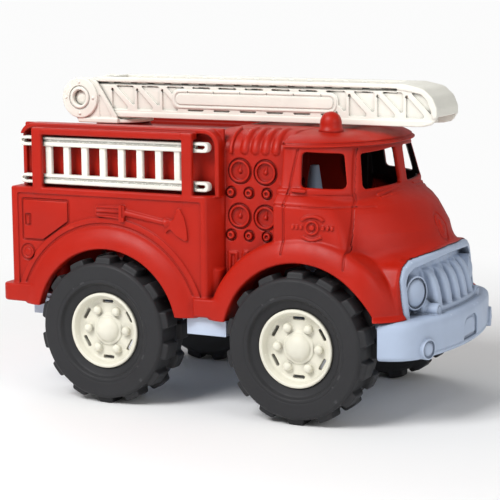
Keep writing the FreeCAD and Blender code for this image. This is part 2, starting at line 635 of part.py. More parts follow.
# ======================================================================
# aerial_ladder: channel with truss sides, rungs on top and a scoop nose
# ======================================================================
def aerial_ladder():
    ladder = new_body("aerial_ladder")
    heel_r = 11.6
    side_view = [(-111, 165.7), (112, ladder_low, 20), (ladder_tip - 0.5, 169.4),
                 (ladder_tip, 172.0, 16), (118.0, 178.4, 22), (101.0, ladder_top),
                 (-100.0, ladder_top), (-111, 188.9, heel_r), (-111 - heel_r, pivot_z, heel_r)]
    pad(ladder, XZ, [side_view], -ladder_half, ladder_half, "Sides")
    cap = [(-99, 186.0), (100, 186.0), (99, 188.6), (93, ladder_crown), (-95, ladder_crown),
           (-99, 188.6)]
    for low, high in ((-ladder_half, -ladder_half + 3.2), (ladder_half - 3.2, ladder_half)):
        pad(ladder, XZ, [cap], low, high, "RailCap")
    inside = [(-105, 150), (-105, 184.3), (100, 184.3), (112, 180.5), (118.5, 174.5),
              (120.5, 168), (120.5, 150)]
    cut(ladder, XZ, [inside], -ladder_half + 2.6, ladder_half - 2.6, "Hollow")
    heel_gap = rect(-128, -ladder_half + 3.4, -98.2, ladder_half - 3.4)
    cut(ladder, XY, [heel_gap], 150, 195, "RearGap")
    # gaps between the rungs
    bays = [-89.6 + 17.7 * k for k in range(11)]
    gap_half = ladder_half - 4.4
    rung_gaps = [rounded(start + 2.4, -gap_half, end - 2.4, gap_half, 1.5)
                 for start, end in zip(bays, bays[1:])]
    cut(ladder, XY, rung_gaps, 180, 195, "RungGaps")
    cut(ladder, XZ, [circle(pivot_x, pivot_z, pin_r)], -25, 25, "PinHole")
    # truss triangles sunk in the sides, with the middle six bays left plain
    triangles = []
    for x in bays[:2] + bays[8:]:
        triangles.append([(x + 1.4, 170.6), (x + 13.4, 170.6), (x + 1.4, 183.0)])
        triangles.append([(x + 4.2, 184.4), (x + 16.2, 172.0), (x + 16.2, 184.4)])
    for low, high in ((-20, -ladder_half + 0.7), (ladder_half - 0.7, 20)):
        cut(ladder, XZ, triangles, low, high, "Truss")


def ladder_pivot_pin():
    pin = new_body("ladder_pivot_pin")
    pad(pin, XZ, [circle(pivot_x, pivot_z, pin_r)], -19.0, 19.0, "Pin")
    cut(pin, XZ, [circle(pivot_x, pivot_z, 2.6)], -30, 30, "Bore")


# ======================================================================
# side ladders: lift-out pieces in the racks
# ======================================================================
def side_ladder(label, side):
    ladder = new_body(label)
    low, high = side * side_y - side_thick / 2, side * side_y + side_thick / 2
    top_rail_low = side_high - rail_h
    low_rail = rounded(side_rear, side_low, side_front - 3.5, side_low + rail_h, 2.2)
    pad(ladder, XZ, [low_rail], low, high, "LowRail")
    top_rail = rounded(side_rear, top_rail_low, side_front, side_high, 2.2)
    pad(ladder, XZ, [top_rail], low, high, "TopRail")
    for k in range(8):
        x = -104.8 + 12.6 * k
        rung = rect(x - 2.1, side_low + 2, x + 2.1, side_high - 2)
        pad(ladder, XZ, [rung], low + 0.8, high - 0.8, "Rung")
    # a slot near each end of each rail
    slots = []
    for z, front_start, front_end in ((side_low, side_front - 15.5, side_front - 6.0),
                                      (top_rail_low, side_front - 12.5, side_front - 2.4)):
        for start, end in ((side_rear + 2.4, side_rear + 12.5), (front_start, front_end)):
            slots.append(rounded(start, z + 2.1, end, z + rail_h - 2.1, 0.7))
    cut(ladder, XZ, slots, -80, 80, "EndSlots")


# ======================================================================
# wheels: hub pressed on the rod, tyre on the hub.  One form a side; the front and
# rear wheels are the same moulding.  Profiles are (radius, distance from centreline).
# ======================================================================
def on_side(profile, side):
    return [(radius, y * side) for radius, y in profile]


def tyre_form(name, side):
    tyre = doc.addObject("PartDesign::Body", name)
    base = tyre_r - tread_depth
    face, back = tyre_face, tyre_face - tyre_w
    # hollow carcass, open on its inner face
    carcass = [
        (ring_r, face), (40.2, face), (base, face - 1.6), (base, back + 1.6), (39.5, back),
        (37.2, back), (37.2, face - 6.5), (33.5, face - 3.2), (28.0, face - 3.6),
        (24.4, face - 7.0), (24.4, back), (23.0, back), (21.2, back + 2),
        (21.2, hub_face - 2.4), (hub_r + 0.05, hub_face - 2.4),
        (hub_r + 0.05, hub_face - 0.4), (ring_r - 0.8, face - 1.4)]
    revolve(tyre, XY, on_side(carcass, side), "Carcass")
    # one shoulder block of each row, outer then inner, and the ring of them
    for edge, inward, foot_r in ((face, -1, 40.0), (back, 1, 39.3)):
        block = [(base - 1, edge + inward * 13.2), (tyre_r, edge + inward * 13.2),
                 (tyre_r, edge + inward * 2.4), (42.4, edge), (foot_r, edge),
                 (base - 1, edge + inward * 2)]
        ring(tyre, revolve(tyre, XY, on_side(block, side), "Block", 16.5), 14)
    return tyre


def hub_form(name, side):
    hub = doc.addObject("PartDesign::Body", name)
    face, back = hub_face, hub_face - 19.5
    profile = [
        (hub_r, face - 0.5), (hub_r, face - 2.35), (21.2, face - 2.4), (21.2, back),
        (19.0, back), (18.6, face - 8.6), (8.0, face - 8.6), (6.8, back), (rod_r, back),
        (rod_r, face - 4.0), (0, face - 4.0), (0, face - 0.4), (5.0, face - 1.2),
        (8.2, face - 4.6), (8.4, face - 6.3), (18.6, face - 6.0), (20.6, face - 0.5),
        (21.6, face)]
    revolve(hub, XY, on_side(profile, side), "Rim")
    ring(hub, cut(hub, XZ, [rounded(-3.5, 16.0, 3.5, 17.6, 0.7)], -80, 80, "Slot"), 6)
    nut_circle_r, nut_angle = 12.7, math.radians(60)
    nut = circle(nut_circle_r * math.cos(nut_angle), nut_circle_r * math.sin(nut_angle), 2.6)
    low, high = sorted((side * (face - 3.0), side * (face - 7.0)),
                       key=lambda length: length.value)
    ring(hub, pad(hub, XZ, [nut], low, high, "Nut"), 6)
    return hub


def place_form(form, label, place):
    copy = doc.addObject("Part::Compound", label)
    copy.Links = [form]
    copy.Placement = FreeCAD.Placement(place, FreeCAD.Rotation())
    pieces.append(copy)


def axle(end, place):
    """Axle rod and the keeper plate under it, drawn about the axle's centre."""
    rod = new_body("%s_axle" % end)
    rod_half = hub_face - 4.0
    pad(rod, XZ, [circle(0, 0, rod_r)], -rod_half, rod_half, "Rod")
    keeper = new_body("%s_axle_keeper" % end)
    pad(keeper, XY, [rounded(-11, -40, 11, 40, 3)], KEEPER_LOW, -4.05, "Plate")
    tongues = [rect(-2.9, -38.5, 2.9, -29.5), rect(-2.9, 29.5, 2.9, 38.5)]
    pad(keeper, XY, tongues, -4.2, -(rod_r + gap), "Tongues")
    holes = [circle(x, y, KEEPER_CLEAR_R) for x in (-KEEPER_SCREW_DX, KEEPER_SCREW_DX)
             for y in (-SADDLE_Y, SADDLE_Y)]
    cut(keeper, XY, holes, -10, 0, "Holes")
    for piece in (rod, keeper):
        piece.Placement = FreeCAD.Placement(place, FreeCAD.Rotation())


def wheels():
    forms = []
    for name, side in (("right", -1), ("left", 1)):
        forms.append((name, tyre_form("%s_tyre_form" % name, side),
                      hub_form("%s_hub_form" % name, side)))
    for end, x in (("front", axle_x.value), ("rear", -axle_x.value)):
        place = V(x, 0, axle_z.value)
        for name, tyre, hub in forms:
            place_form(tyre, "%s_%s_tyre" % (end, name), place)
            place_form(hub, "%s_%s_hub" % (end, name), place)
        axle(end, place)


# ======================================================================
# fasteners: pan head screws driven from below, one piece for each kind of joint
# ======================================================================
def screws(label, places, under_head, tip, head_r, shank_r):
    head_h, overlap = 2.0, 0.5
    slot_w, slot_depth = 0.7, 0.8
    slotted = []
    for i, (x, y) in enumerate(places):
        head = doc.addObject("Part::Cylinder", "%s_head%d" % (label, i))
        head.Radius = head_r
        head.Height = head_h
        head.Placement.Base = V(x, y, under_head - head_h)
        shank = doc.addObject("Part::Cylinder", "%s_shank%d" % (label, i))
        shank.Radius = shank_r
        shank.Height = tip - under_head + overlap
        shank.Placement.Base = V(x, y, under_head - overlap)
        screw = doc.addObject("Part::MultiFuse", "%s_screw%d" % (label, i))
        screw.Shapes = [head, shank]
        slot = doc.addObject("Part::Box", "%s_slot%d" % (label, i))
        slot.Length = head_r * 1.3
        slot.Width = slot_w
        slot.Height = slot_depth
        slot.Placement.Base = V(x - head_r * 0.65, y - slot_w / 2, under_head - head_h)
        result = doc.addObject("Part::Cut", "%s_cut%d" % (label, i))
        result.Base = screw
        result.Tool = slot
        slotted.append(result)
    group = doc.addObject("Part::Compound", label)
    group.Links = slotted
    pieces.append(group)


# ======================================================================
# build, place, check, write
# ======================================================================
body_shell()
beacons()
chassis_tray()
front_fascia()
turntable()
aerial_ladder()
ladder_pivot_pin()
side_ladder("right_side_ladder", -1)
side_ladder("left_side_ladder", 1)
wheels()
keeper_z = axle_z.value + KEEPER_LOW
screws("chassis_screws", BODY_SCREWS, PLATE_LOW, 72.0, SCREW_HEAD_R, SCREW_R)
screws("fascia_screws", FASCIA_SCREWS, TONGUE_LOW, 56.4, SCREW_HEAD_R, SCREW_R)
screws("keeper_screws", KEEPER_SCREWS, keeper_z, 48.0, KEEPER_HEAD_R, KEEPER_SCREW_R)
screws("turntable_screw", [(swivel_x.value, 0.0)], WASHER_LOW, 158.0, SCREW_HEAD_R, SCREW_R)

doc.recompute()
to_middle = V((front_x.value + rear_x.value) / -2.0, 0, 0)
for piece in pieces:
    old = piece.Placement
    piece.Placement = FreeCAD.Placement(old.Base + to_middle, old.Rotation)
doc.recompute()

faults = []
for item in doc.Objects:
    states = [str(state) for state in item.State]
    if "Invalid" in states or "Error" in states:
        faults.append("%s %s" % (item.Name, states))
for piece in pieces:
    shape = piece.Shape
    if shape.isNull() or not shape.isValid() or not shape.Solids:
        faults.append("%s shape" % piece.Label)
    elif piece.TypeId == "PartDesign::Body" and len(shape.Solids) != 1:
        faults.append("%s has %d solids" % (piece.Label, len(shape.Solids)))
if faults:
    raise RuntimeError("; ".join(faults))

os.makedirs("parts", exist_ok=True)
for piece in pieces:
    piece.Shape.exportStep("parts/%s.step" % piece.Label)
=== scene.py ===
# A toy fire engine: red body, pale blue grey chassis and grille moulding, white ladders and black
# tyres.  It stands on z = 0 with its nose towards +x and its left side towards +y.
# Shapes are distance fields in millimetres about the ground point midway between the axles;
# the meshes made from them are in metres in the frame's own axes.
import bpy
import json
import math
import numpy as np
from mathutils import Matrix, Vector

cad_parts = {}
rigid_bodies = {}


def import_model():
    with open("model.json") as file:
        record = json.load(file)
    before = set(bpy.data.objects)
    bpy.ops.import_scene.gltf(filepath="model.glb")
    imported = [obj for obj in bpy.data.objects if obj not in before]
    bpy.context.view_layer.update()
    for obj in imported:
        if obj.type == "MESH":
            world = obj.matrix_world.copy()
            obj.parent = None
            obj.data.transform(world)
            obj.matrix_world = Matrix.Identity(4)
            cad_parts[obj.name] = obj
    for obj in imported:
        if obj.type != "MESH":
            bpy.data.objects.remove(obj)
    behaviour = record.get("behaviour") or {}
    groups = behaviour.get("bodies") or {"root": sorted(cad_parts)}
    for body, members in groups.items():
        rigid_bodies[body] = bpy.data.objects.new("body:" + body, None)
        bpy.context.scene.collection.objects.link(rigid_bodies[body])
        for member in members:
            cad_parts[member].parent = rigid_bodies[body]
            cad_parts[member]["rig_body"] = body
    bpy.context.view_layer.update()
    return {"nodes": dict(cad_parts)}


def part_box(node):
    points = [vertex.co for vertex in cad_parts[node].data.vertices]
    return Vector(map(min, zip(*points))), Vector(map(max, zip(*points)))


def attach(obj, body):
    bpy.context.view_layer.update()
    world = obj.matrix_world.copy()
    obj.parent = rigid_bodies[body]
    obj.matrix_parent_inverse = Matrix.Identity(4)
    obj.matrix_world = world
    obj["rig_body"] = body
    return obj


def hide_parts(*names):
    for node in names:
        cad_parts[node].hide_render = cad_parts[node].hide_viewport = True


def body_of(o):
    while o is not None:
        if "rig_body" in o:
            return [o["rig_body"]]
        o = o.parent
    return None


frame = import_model()

F32 = np.float32
COARSER = 1.0    # factor on every grid's spacing

front_axle, rear_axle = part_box("front_axle"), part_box("rear_axle")
front_x = (front_axle[0].x + front_axle[1].x) / 2
rear_x = (rear_axle[0].x + rear_axle[1].x) / 2
MIDDLE_X = 500.0 * (front_x + rear_x)       # midway between the axles, mm
AXLE_X = 500.0 * (front_x - rear_x)         # each axle's distance from there, mm
AXLE_Z = 500.0 * (front_axle[0].z + front_axle[1].z)


# ----------------------------------------------------------------------
# distance fields
# ----------------------------------------------------------------------
class Solid:
    """A distance function with the box it lives in."""

    def __init__(self, distance, low, high):
        self.distance, self.low, self.high = distance, low, high


def soft_min(a, b, blend):
    if blend <= 0:
        return np.minimum(a, b)
    overlap = np.maximum(blend - np.abs(a - b), 0) / blend
    return np.minimum(a, b) - overlap * overlap * (blend * 0.25)


def soft_max(a, b, blend):
    return -soft_min(-a, -b, blend)


class Volume:
    """A grid of distances that solids are joined to and cut from."""

    def __init__(self, low, high, step):
        self.step = step = step * COARSER
        self.low = np.array(low, float)
        self.size = [int(math.ceil((high[i] - low[i]) / step)) + 1 for i in range(3)]
        self.axes = [(low[i] + step * np.arange(self.size[i])).astype(F32) for i in range(3)]
        self.field = np.full(self.size, 30.0, F32)

    def _change(self, solid, blend, change):
        """Applies change(field, distance) in the window of grid points near a solid."""
        margin = blend + 3 * self.step
        window = []
        for i in range(3):
            first = math.floor((solid.low[i] - margin - self.low[i]) / self.step)
            last = math.ceil((solid.high[i] + margin - self.low[i]) / self.step)
            first, last = max(0, int(first)), min(self.size[i], int(last) + 1)
            if last <= first:
                return
            window.append(slice(first, last))
        x, y, z = (axis[part] for axis, part in zip(self.axes, window))
        gap = solid.distance(x[:, None, None], y[None, :, None], z[None, None, :]).astype(F32)
        window = tuple(window)
        self.field[window] = change(self.field[window], gap)

    def add(self, solid, blend=0.0):
        self._change(solid, blend, lambda field, gap: soft_min(field, gap, blend))

    def cut(self, solid, blend=0.0):
        self._change(solid, blend, lambda field, gap: soft_max(field, -gap, blend))

    def engrave(self, solid, depth, blend=0.0):
        """Sinks the part of the surface inside a solid by a depth."""
        self._change(solid, 0, lambda field, gap: soft_max(
            field, np.minimum(-gap, field + depth), blend))

    def emboss(self, solid, height, blend=0.0):
        """Raises the part of the surface inside a solid by a height."""
        self._change(solid, 0, lambda field, gap: soft_min(
            field, np.maximum(gap, field - height), blend))


# ----------------------------------------------------------------------
# outlines and solids
# ----------------------------------------------------------------------
def rounded(outline, radii, steps=5):
    """The polygon with each corner rounded; radii is one radius or one for each corner."""
    points = []
    for i, corner in enumerate(outline):
        corner = np.array(corner, float)
        back = np.array(outline[i - 1], float) - corner
        ahead = np.array(outline[(i + 1) % len(outline)], float) - corner
        back_length, ahead_length = np.hypot(*back), np.hypot(*ahead)
        back, ahead = back / back_length, ahead / ahead_length
        radius = radii[i] if isinstance(radii, (list, tuple)) else radii
        angle = math.acos(float(np.clip(back @ ahead, -1, 1)))
        if radius <= 0 or angle > math.pi - 0.02:
            points.append(tuple(corner))
            continue
        trim = min(radius / math.tan(angle / 2), back_length * 0.49, ahead_length * 0.49)
        radius = trim * math.tan(angle / 2)
        middle = back + ahead
        middle /= np.hypot(*middle)
        centre = corner + middle * radius / math.sin(angle / 2)
        start, end = corner + back * trim - centre, corner + ahead * trim - centre
        first = math.atan2(start[1], start[0])
        sweep = (math.atan2(end[1], end[0]) - first + math.pi) % (2 * math.pi) - math.pi
        for j in range(steps + 1):
            turn = first + sweep * j / steps
            points.append((centre[0] + radius * math.cos(turn), centre[1] + radius * math.sin(turn)))
    return points


def rect(x0, y0, x1, y1):
    return [(x0, y0), (x1, y0), (x1, y1), (x0, y1)]


def square(centre, radius):
    return rect(centre[0] - radius, centre[1] - radius, centre[0] + radius, centre[1] + radius)


def flat_distance(x, y, outline):
    """Signed distance to a polygon, negative inside."""
    nearest = inside = None
    for i, start in enumerate(outline):
        end = outline[(i + 1) % len(outline)]
        start_x, start_y = F32(start[0]), F32(start[1])
        end_x, end_y = F32(end[0]), F32(end[1])
        edge_x, edge_y = end_x - start_x, end_y - start_y
        square_length = edge_x * edge_x + edge_y * edge_y
        if square_length < 1e-9:
            continue
        from_x, from_y = x - start_x, y - start_y
        share = np.clip((from_x * edge_x + from_y * edge_y) / square_length, 0, 1)
        off_x, off_y = from_x - edge_x * share, from_y - edge_y * share
        gap = off_x * off_x + off_y * off_y
        nearest = gap if nearest is None else np.minimum(nearest, gap)
        above, below_end = y >= start_y, y < end_y
        left = edge_x * from_y > edge_y * from_x
        flip = (above & below_end & left) | (~above & ~below_end & ~left)
        inside = flip if inside is None else inside ^ flip
    nearest = np.sqrt(nearest)
    return np.where(inside, -nearest, nearest)


def join(profile, length, edge):
    """Distance to an extrusion from its profile's and its length's, edges rounded."""
    profile, length = profile + edge, length + edge
    outside = np.sqrt(np.maximum(profile, 0) ** 2 + np.maximum(length, 0) ** 2)
    return np.minimum(np.maximum(profile, length), 0) + outside - edge


def across_and_along(axis, x, y, z):
    """The two coordinates across an axis, in x, y, z order, then the one along it."""
    return {"x": (y, z, x), "y": (x, z, y), "z": (x, y, z)}[axis]


def bounds(axis, outline, low, high):
    points = np.array(outline, float)
    (u0, v0), (u1, v1) = points.min(0), points.max(0)
    return {"x": ((low, u0, v0), (high, u1, v1)),
            "y": ((u0, low, v0), (u1, high, v1)),
            "z": ((u0, v0, low), (u1, v1, high))}[axis]


def swept(axis, outline, low, high, edge, profile):
    """profile(across, across, along) carried along an axis, within an outline's bounds."""
    def distance(x, y, z):
        across = across_and_along(axis, x, y, z)
        length = np.abs(across[2] - (low + high) / 2) - (high - low) / 2
        return join(profile(*across), length, edge)
    return Solid(distance, *bounds(axis, outline, low, high))


def prism(axis, outline, low, high, edge=0.0):
    """An outline, in the plane of the other two axes, extruded along an axis."""
    return swept(axis, outline, low, high, edge, lambda u, v, t: flat_distance(u, v, outline))


def block(low, high, edge=0.0):
    centre = [(low[i] + high[i]) / 2 for i in range(3)]
    half = [(high[i] - low[i]) / 2 - edge for i in range(3)]

    def distance(x, y, z):
        out_x = np.abs(x - centre[0]) - half[0]
        out_y = np.abs(y - centre[1]) - half[1]
        out_z = np.abs(z - centre[2]) - half[2]
        return np.minimum(np.maximum(np.maximum(out_x, out_y), out_z), 0) + np.sqrt(
            np.maximum(out_x, 0) ** 2 + np.maximum(out_y, 0) ** 2 + np.maximum(out_z, 0) ** 2) - edge
    return Solid(distance, low, high)


def from_axis(u, v, centre):
    return np.sqrt((u - centre[0]) ** 2 + (v - centre[1]) ** 2)


def rod(axis, centre, radius, low, high, edge=0.0, end_radius=None):
    """Round bar along an axis, tapering to end_radius at its high end."""
    end_radius = end_radius or radius
    slope = (end_radius - radius) / (high - low)

    def profile(u, v, t):
        taper = radius + slope * (t - low)
        return (from_axis(u, v, centre) - taper) / math.sqrt(1 + slope * slope)
    return swept(axis, square(centre, max(radius, end_radius)), low, high, edge, profile)


def ring(axis, centre, inner, outer, low, high, edge=0.0):
    middle, half = (inner + outer) / 2, (outer - inner) / 2
    return swept(axis, square(centre, outer), low, high, edge,
                 lambda u, v, t: np.abs(from_axis(u, v, centre) - middle) - half)


def turned(axis, centre, profile):
    """A profile of (radius, along) turned about an axis."""
    points = np.array(profile, float)
    outline = square(centre, points[:, 0].max())

    def distance(x, y, z):
        u, v, t = across_and_along(axis, x, y, z)
        return flat_distance(from_axis(u, v, centre), t, profile)
    return Solid(distance, *bounds(axis, outline, points[:, 1].min(), points[:, 1].max()))


def around(centre, reach):
    """Low and high corners of a cube about a centre."""
    return tuple(c - reach for c in centre), tuple(c + reach for c in centre)


def ball(centre, radius, squash=1.0):
    """A ball, flattened along y by squash."""
    cx, cy, cz = centre

    def distance(x, y, z):
        gap = np.sqrt((x - cx) ** 2 + ((y - cy) / squash) ** 2 + (z - cz) ** 2)
        return (gap - radius) * squash
    return Solid(distance, (cx - radius, cy - radius * squash, cz - radius),
                 (cx + radius, cy + radius * squash, cz + radius))


def tube(points, radius, end_radius=None):
    """Round rod through points, tapering evenly to end_radius."""
    points = np.array(points, float)
    end_radius = end_radius or radius
    legs = len(points) - 1

    def distance(x, y, z):
        nearest = None
        for i in range(legs):
            leg = points[i + 1] - points[i]
            square_length = float(leg @ leg)
            start, leg = points[i].tolist(), leg.tolist()
            share = np.clip(((x - start[0]) * leg[0] + (y - start[1]) * leg[1]
                             + (z - start[2]) * leg[2]) / square_length, 0, 1)
            off_x = x - start[0] - share * leg[0]
            off_y = y - start[1] - share * leg[1]
            off_z = z - start[2] - share * leg[2]
            here = radius + (end_radius - radius) * i / legs
            here = here + share * ((end_radius - radius) / legs)
            gap = np.sqrt(off_x * off_x + off_y * off_y + off_z * off_z) - here
            nearest = gap if nearest is None else np.minimum(nearest, gap)
        return nearest
    widest = max(radius, end_radius)
    return Solid(distance, tuple(points.min(0) - widest), tuple(points.max(0) + widest))


def common(a, b):
    """The space common to two solids."""
    return Solid(lambda x, y, z: np.maximum(a.distance(x, y, z), b.distance(x, y, z)),
                 tuple(max(pair) for pair in zip(a.low, b.low)),
                 tuple(min(pair) for pair in zip(a.high, b.high)))


def less(a, b, blend=0.0):
    """Solid a with b taken away."""
    return Solid(lambda x, y, z: soft_max(a.distance(x, y, z), -b.distance(x, y, z), blend),
                 a.low, a.high)


# ----------------------------------------------------------------------
# from grid to mesh
# ----------------------------------------------------------------------
CORNERS = [(i, j, k) for i in (0, 1) for j in (0, 1) for k in (0, 1)]


def corner_values(field, cell):
    """The field at the eight corners of cells given by their three index arrays."""
    size, flat = field.shape, field.ravel()
    base = (cell[0] * size[1] + cell[1]) * size[2] + cell[2]
    return [flat[base + (i * size[1] + j) * size[2] + k] for i, j, k in CORNERS]


def sample(field, points):
    """Trilinear samples of the field at index coordinates."""
    place = [np.clip(points[:, i], 0, field.shape[i] - 1.001) for i in range(3)]
    cell = [p.astype(np.int64) for p in place]
    part = [(place[i] - cell[i]).astype(F32) for i in range(3)]
    weight = [(1 - p, p) for p in part]
    total = 0
    for (i, j, k), value in zip(CORNERS, corner_values(field, cell)):
        total = total + weight[0][i] * weight[1][j] * weight[2][k] * value
    return total


def gradient(field, points, reach=0.6):
    slope = np.empty((len(points), 3), F32)
    for i in range(3):
        step = np.zeros(3)
        step[i] = reach
        slope[:, i] = (sample(field, points + step) - sample(field, points - step)) / (2 * reach)
    return slope


def surface(field):
    """Surface-net mesh of the field's zero level: vertices in index coordinates, and quads."""
    inside = field < 0
    size = inside.shape
    corners_in = np.zeros([n - 1 for n in size], np.uint8)
    for i, j, k in CORNERS:
        corners_in += inside[i:size[0] - 1 + i, j:size[1] - 1 + j, k:size[2] - 1 + k]
    crossed = (corners_in > 0) & (corners_in < 8)
    cells = np.argwhere(crossed)
    number = np.full(crossed.shape, -1, np.int32)
    number[crossed] = np.arange(len(cells), dtype=np.int32)

    # each vertex is the mean of the crossings on its cell's edges
    values = corner_values(field, cells.T)
    total = np.zeros((len(cells), 3), F32)
    crossings = np.zeros(len(cells), F32)
    for i in range(8):
        for j in range(i + 1, 8):
            step = [b - a for a, b in zip(CORNERS[i], CORNERS[j])]
            if sum(abs(s) for s in step) != 1:
                continue
            start, end = values[i], values[j]
            cross = (start < 0) != (end < 0)
            share = np.where(cross, start / np.where(cross, start - end, 1), 0)
            for axis in range(3):
                total[:, axis] += np.where(cross, CORNERS[i][axis] + share * step[axis], 0)
            crossings += cross
    points = cells + total / crossings[:, None]

    # one quad round each grid edge that the surface crosses
    quads = []
    for axis in range(3):
        others = [i for i in range(3) if i != axis]
        near = [slice(1, n - 1) for n in size]
        far = list(near)
        near[axis], far[axis] = slice(0, size[axis] - 1), slice(1, size[axis])
        before, after = inside[tuple(near)], inside[tuple(far)]
        edge = np.argwhere(before != after)
        leaving = before[tuple(edge.T)]
        edge[:, others] += 1
        one, two = np.eye(3, dtype=int)[others]
        quad = np.stack([number[tuple(corner.T)] for corner in
                         (edge - one - two, edge - two, edge, edge - one)], 1)
        turn_over = ~leaving if axis != 1 else leaving
        quad[turn_over] = quad[turn_over][:, ::-1]
        quads.append(quad)
    return points.astype(np.float64), np.concatenate(quads)


def mesh_object(name, points, quads, triangles):
    """A smooth mesh object, thinned to about the given number of triangles."""
    mesh = bpy.data.meshes.new(name)
    mesh.vertices.add(len(points))
    mesh.vertices.foreach_set("co", np.ascontiguousarray(points, F32).ravel())
    mesh.loops.add(quads.size)
    mesh.loops.foreach_set("vertex_index", np.ascontiguousarray(quads, np.int32).ravel())
    mesh.polygons.add(len(quads))
    mesh.polygons.foreach_set("loop_start", np.arange(0, quads.size, 4, dtype=np.int32))
    mesh.update(calc_edges=True)
    made = bpy.data.objects.new(name, mesh)
    bpy.context.scene.collection.objects.link(made)
    full = len(quads) * 2
    if full > triangles:
        made.modifiers.new("thin", "DECIMATE").ratio = triangles / full
        depsgraph = bpy.context.evaluated_depsgraph_get()
        thinned = bpy.data.meshes.new_from_object(made.evaluated_get(depsgraph))
        made.modifiers.clear()
        made.data = thinned
        bpy.data.meshes.remove(mesh)
        thinned.name = name
        mesh = thinned
    mesh.polygons.foreach_set("use_smooth", np.ones(len(mesh.polygons), bool))
    return made


def read_points(mesh):
    points = np.empty(len(mesh.vertices) * 3, F32)
    mesh.vertices.foreach_get("co", points)
    return points.reshape(-1, 3)


def build(name, vol, triangles, mirror=False, shift=(0, 0, 0)):
    """Turns a volume into a mesh object with normals taken from the field.
    mirror: the volume holds y >= 0, and its other half is the mirror image."""
    field, step = vol.field, vol.step
    low = vol.low.copy()
    if mirror:
        field = np.concatenate([field[:, :0:-1, :], field], axis=1)
        low[1] = -step * (vol.size[1] - 1)
    # a closed skin even where the volume's edge cuts the solid
    field = np.pad(field, 1, constant_values=2.0)
    low = low - step
    shift, middle = np.array(shift), np.array([MIDDLE_X, 0, 0])
    points, quads = surface(field)
    for _ in range(2):    # draw the vertices onto the zero level
        slope = gradient(field, points)
        gap = sample(field, points)
        steepness = np.maximum((slope * slope).sum(1), 0.05 * step * step)
        points = points - np.clip(gap / steepness, -0.7, 0.7)[:, None] * slope
    made = mesh_object(name, (points * step + low + shift + middle) * 0.001, quads, triangles)
    kept = read_points(made.data).astype(np.float64) * 1000 - shift - middle
    normals = gradient(field, (kept - low) / step, 0.9)
    normals /= np.maximum(np.linalg.norm(normals, axis=1), 1e-9)[:, None]
    made.data.normals_split_custom_set_from_vertices(normals.tolist())
    return made


def copy_of(source, name, mirrored, shift=(0, 0, 0)):
    """The same moulding again: shifted, and mirrored across y = 0 when mirrored is set."""
    mesh = source.data.copy()
    mesh.name = name
    points = read_points(mesh)
    corner_normals = np.empty(len(mesh.corner_normals) * 3, F32)
    mesh.corner_normals.foreach_get("vector", corner_normals)
    loop_vertices = np.empty(len(mesh.loops), np.int32)
    mesh.loops.foreach_get("vertex_index", loop_vertices)
    normals = np.zeros((len(points), 3), F32)
    normals[loop_vertices] = corner_normals.reshape(-1, 3)
    if mirrored:
        points[:, 1] *= -1
        normals[:, 1] *= -1
        mesh.flip_normals()
    points += np.array(shift, F32) * F32(0.001)
    mesh.vertices.foreach_set("co", np.ascontiguousarray(points).ravel())
    mesh.update()
    mesh.normals_split_custom_set_from_vertices(normals.tolist())
    made = bpy.data.objects.new(name, mesh)
    bpy.context.scene.collection.objects.link(made)
    return made


# ----------------------------------------------------------------------
# shapes shared by the body and the grille moulding
# ----------------------------------------------------------------------
PAST = -12                      # mirrored halves start here, past the centre plane
FRONT_ARCH = AXLE_X + 1.2       # wheel arch centres
REAR_ARCH = 0.8 - AXLE_X
ARCH_Z = 45.0
CAB_BACK = 48.5
CAB_TOP = 131.2

# outline of the grille moulding's frame: (half width, height)
FRAME_OUTLINE = rounded(
    [(-10, 55), (56.4, 55), (56.4, 62), (56.8, 74), (57.2, 84.0), (54.0, 90.0), (46.0, 93.4),
     (30, 94.8), (14, 95.8), (0, 96.5), (-10, 96.5)],
    [0, 0, 4, 8, 6, 7, 8, 8, 0, 0, 0])
# foremost x of the cab's nose at each height
NOSE_Z = [96.0, 98.0, 100.5, 107.7, 114.8, 119.0, 123.0, 126.0, 128.0, 131.0]
NOSE_X = [123.9, 123.8, 123.4, 121.3, 117.0, 114.3, 110.6, 106.2, 102.8, 98.4]


def level(z, heights, values):
    """A value read off a table at each height."""
    return np.interp(z, heights, values).astype(F32)


def grille_radius(x, y):
    """Distance from the upright axis that the grille is curved about."""
    return np.sqrt((x + 71.5) ** 2 + y * y)


def cab_half_width(z):
    return level(z, [124.2, 126.0, 129.5, 131.0], [70.0, 69.4, 66.2, 65.2])


def oval(x, y, length, half_width, power):
    """Distance to a rounded plan outline that reaches a length ahead of the cab's back."""
    ahead = np.maximum(x - CAB_BACK, 0) / length + 1e-4
    aside = np.abs(y) / half_width + 1e-4
    reach = (ahead ** power + aside ** power) ** (1 / power)
    slope = np.sqrt((reach ** (1 - power) * ahead ** (power - 1) / length) ** 2
                    + (reach ** (1 - power) * aside ** (power - 1) / half_width) ** 2)
    return (reach - 1) / np.maximum(slope, 1e-3)


def shoulder(radius_y, base_z, radius_z, angles):
    """Points (y, z) on the rolled shoulder of the pump section."""
    return [(42 + radius_y * math.cos(t), base_z + radius_z * math.sin(t)) for t in angles]


def nose(lift, inset, top, back, back_blend, low, high):
    """The cab below its windows, in plan arcs that shrink with height.
    lift and inset, each (front, side), draw the hollow's walls in from the outer skin."""
    def distance(x, y, z):
        front = level(z + lift[0], NOSE_Z, NOSE_X) - inset[0]
        half = cab_half_width(z + lift[1]) - inset[1]
        radius = (half * half + (front - 60) ** 2) / (2 * (front - 60))
        gap = np.sqrt((x - front + radius) ** 2 + y * y) - radius
        gap = soft_max(gap, y - half, 3.0)
        return soft_max(soft_max(gap, z - top, 1.2), back - x, back_blend)
    return Solid(distance, low, high)


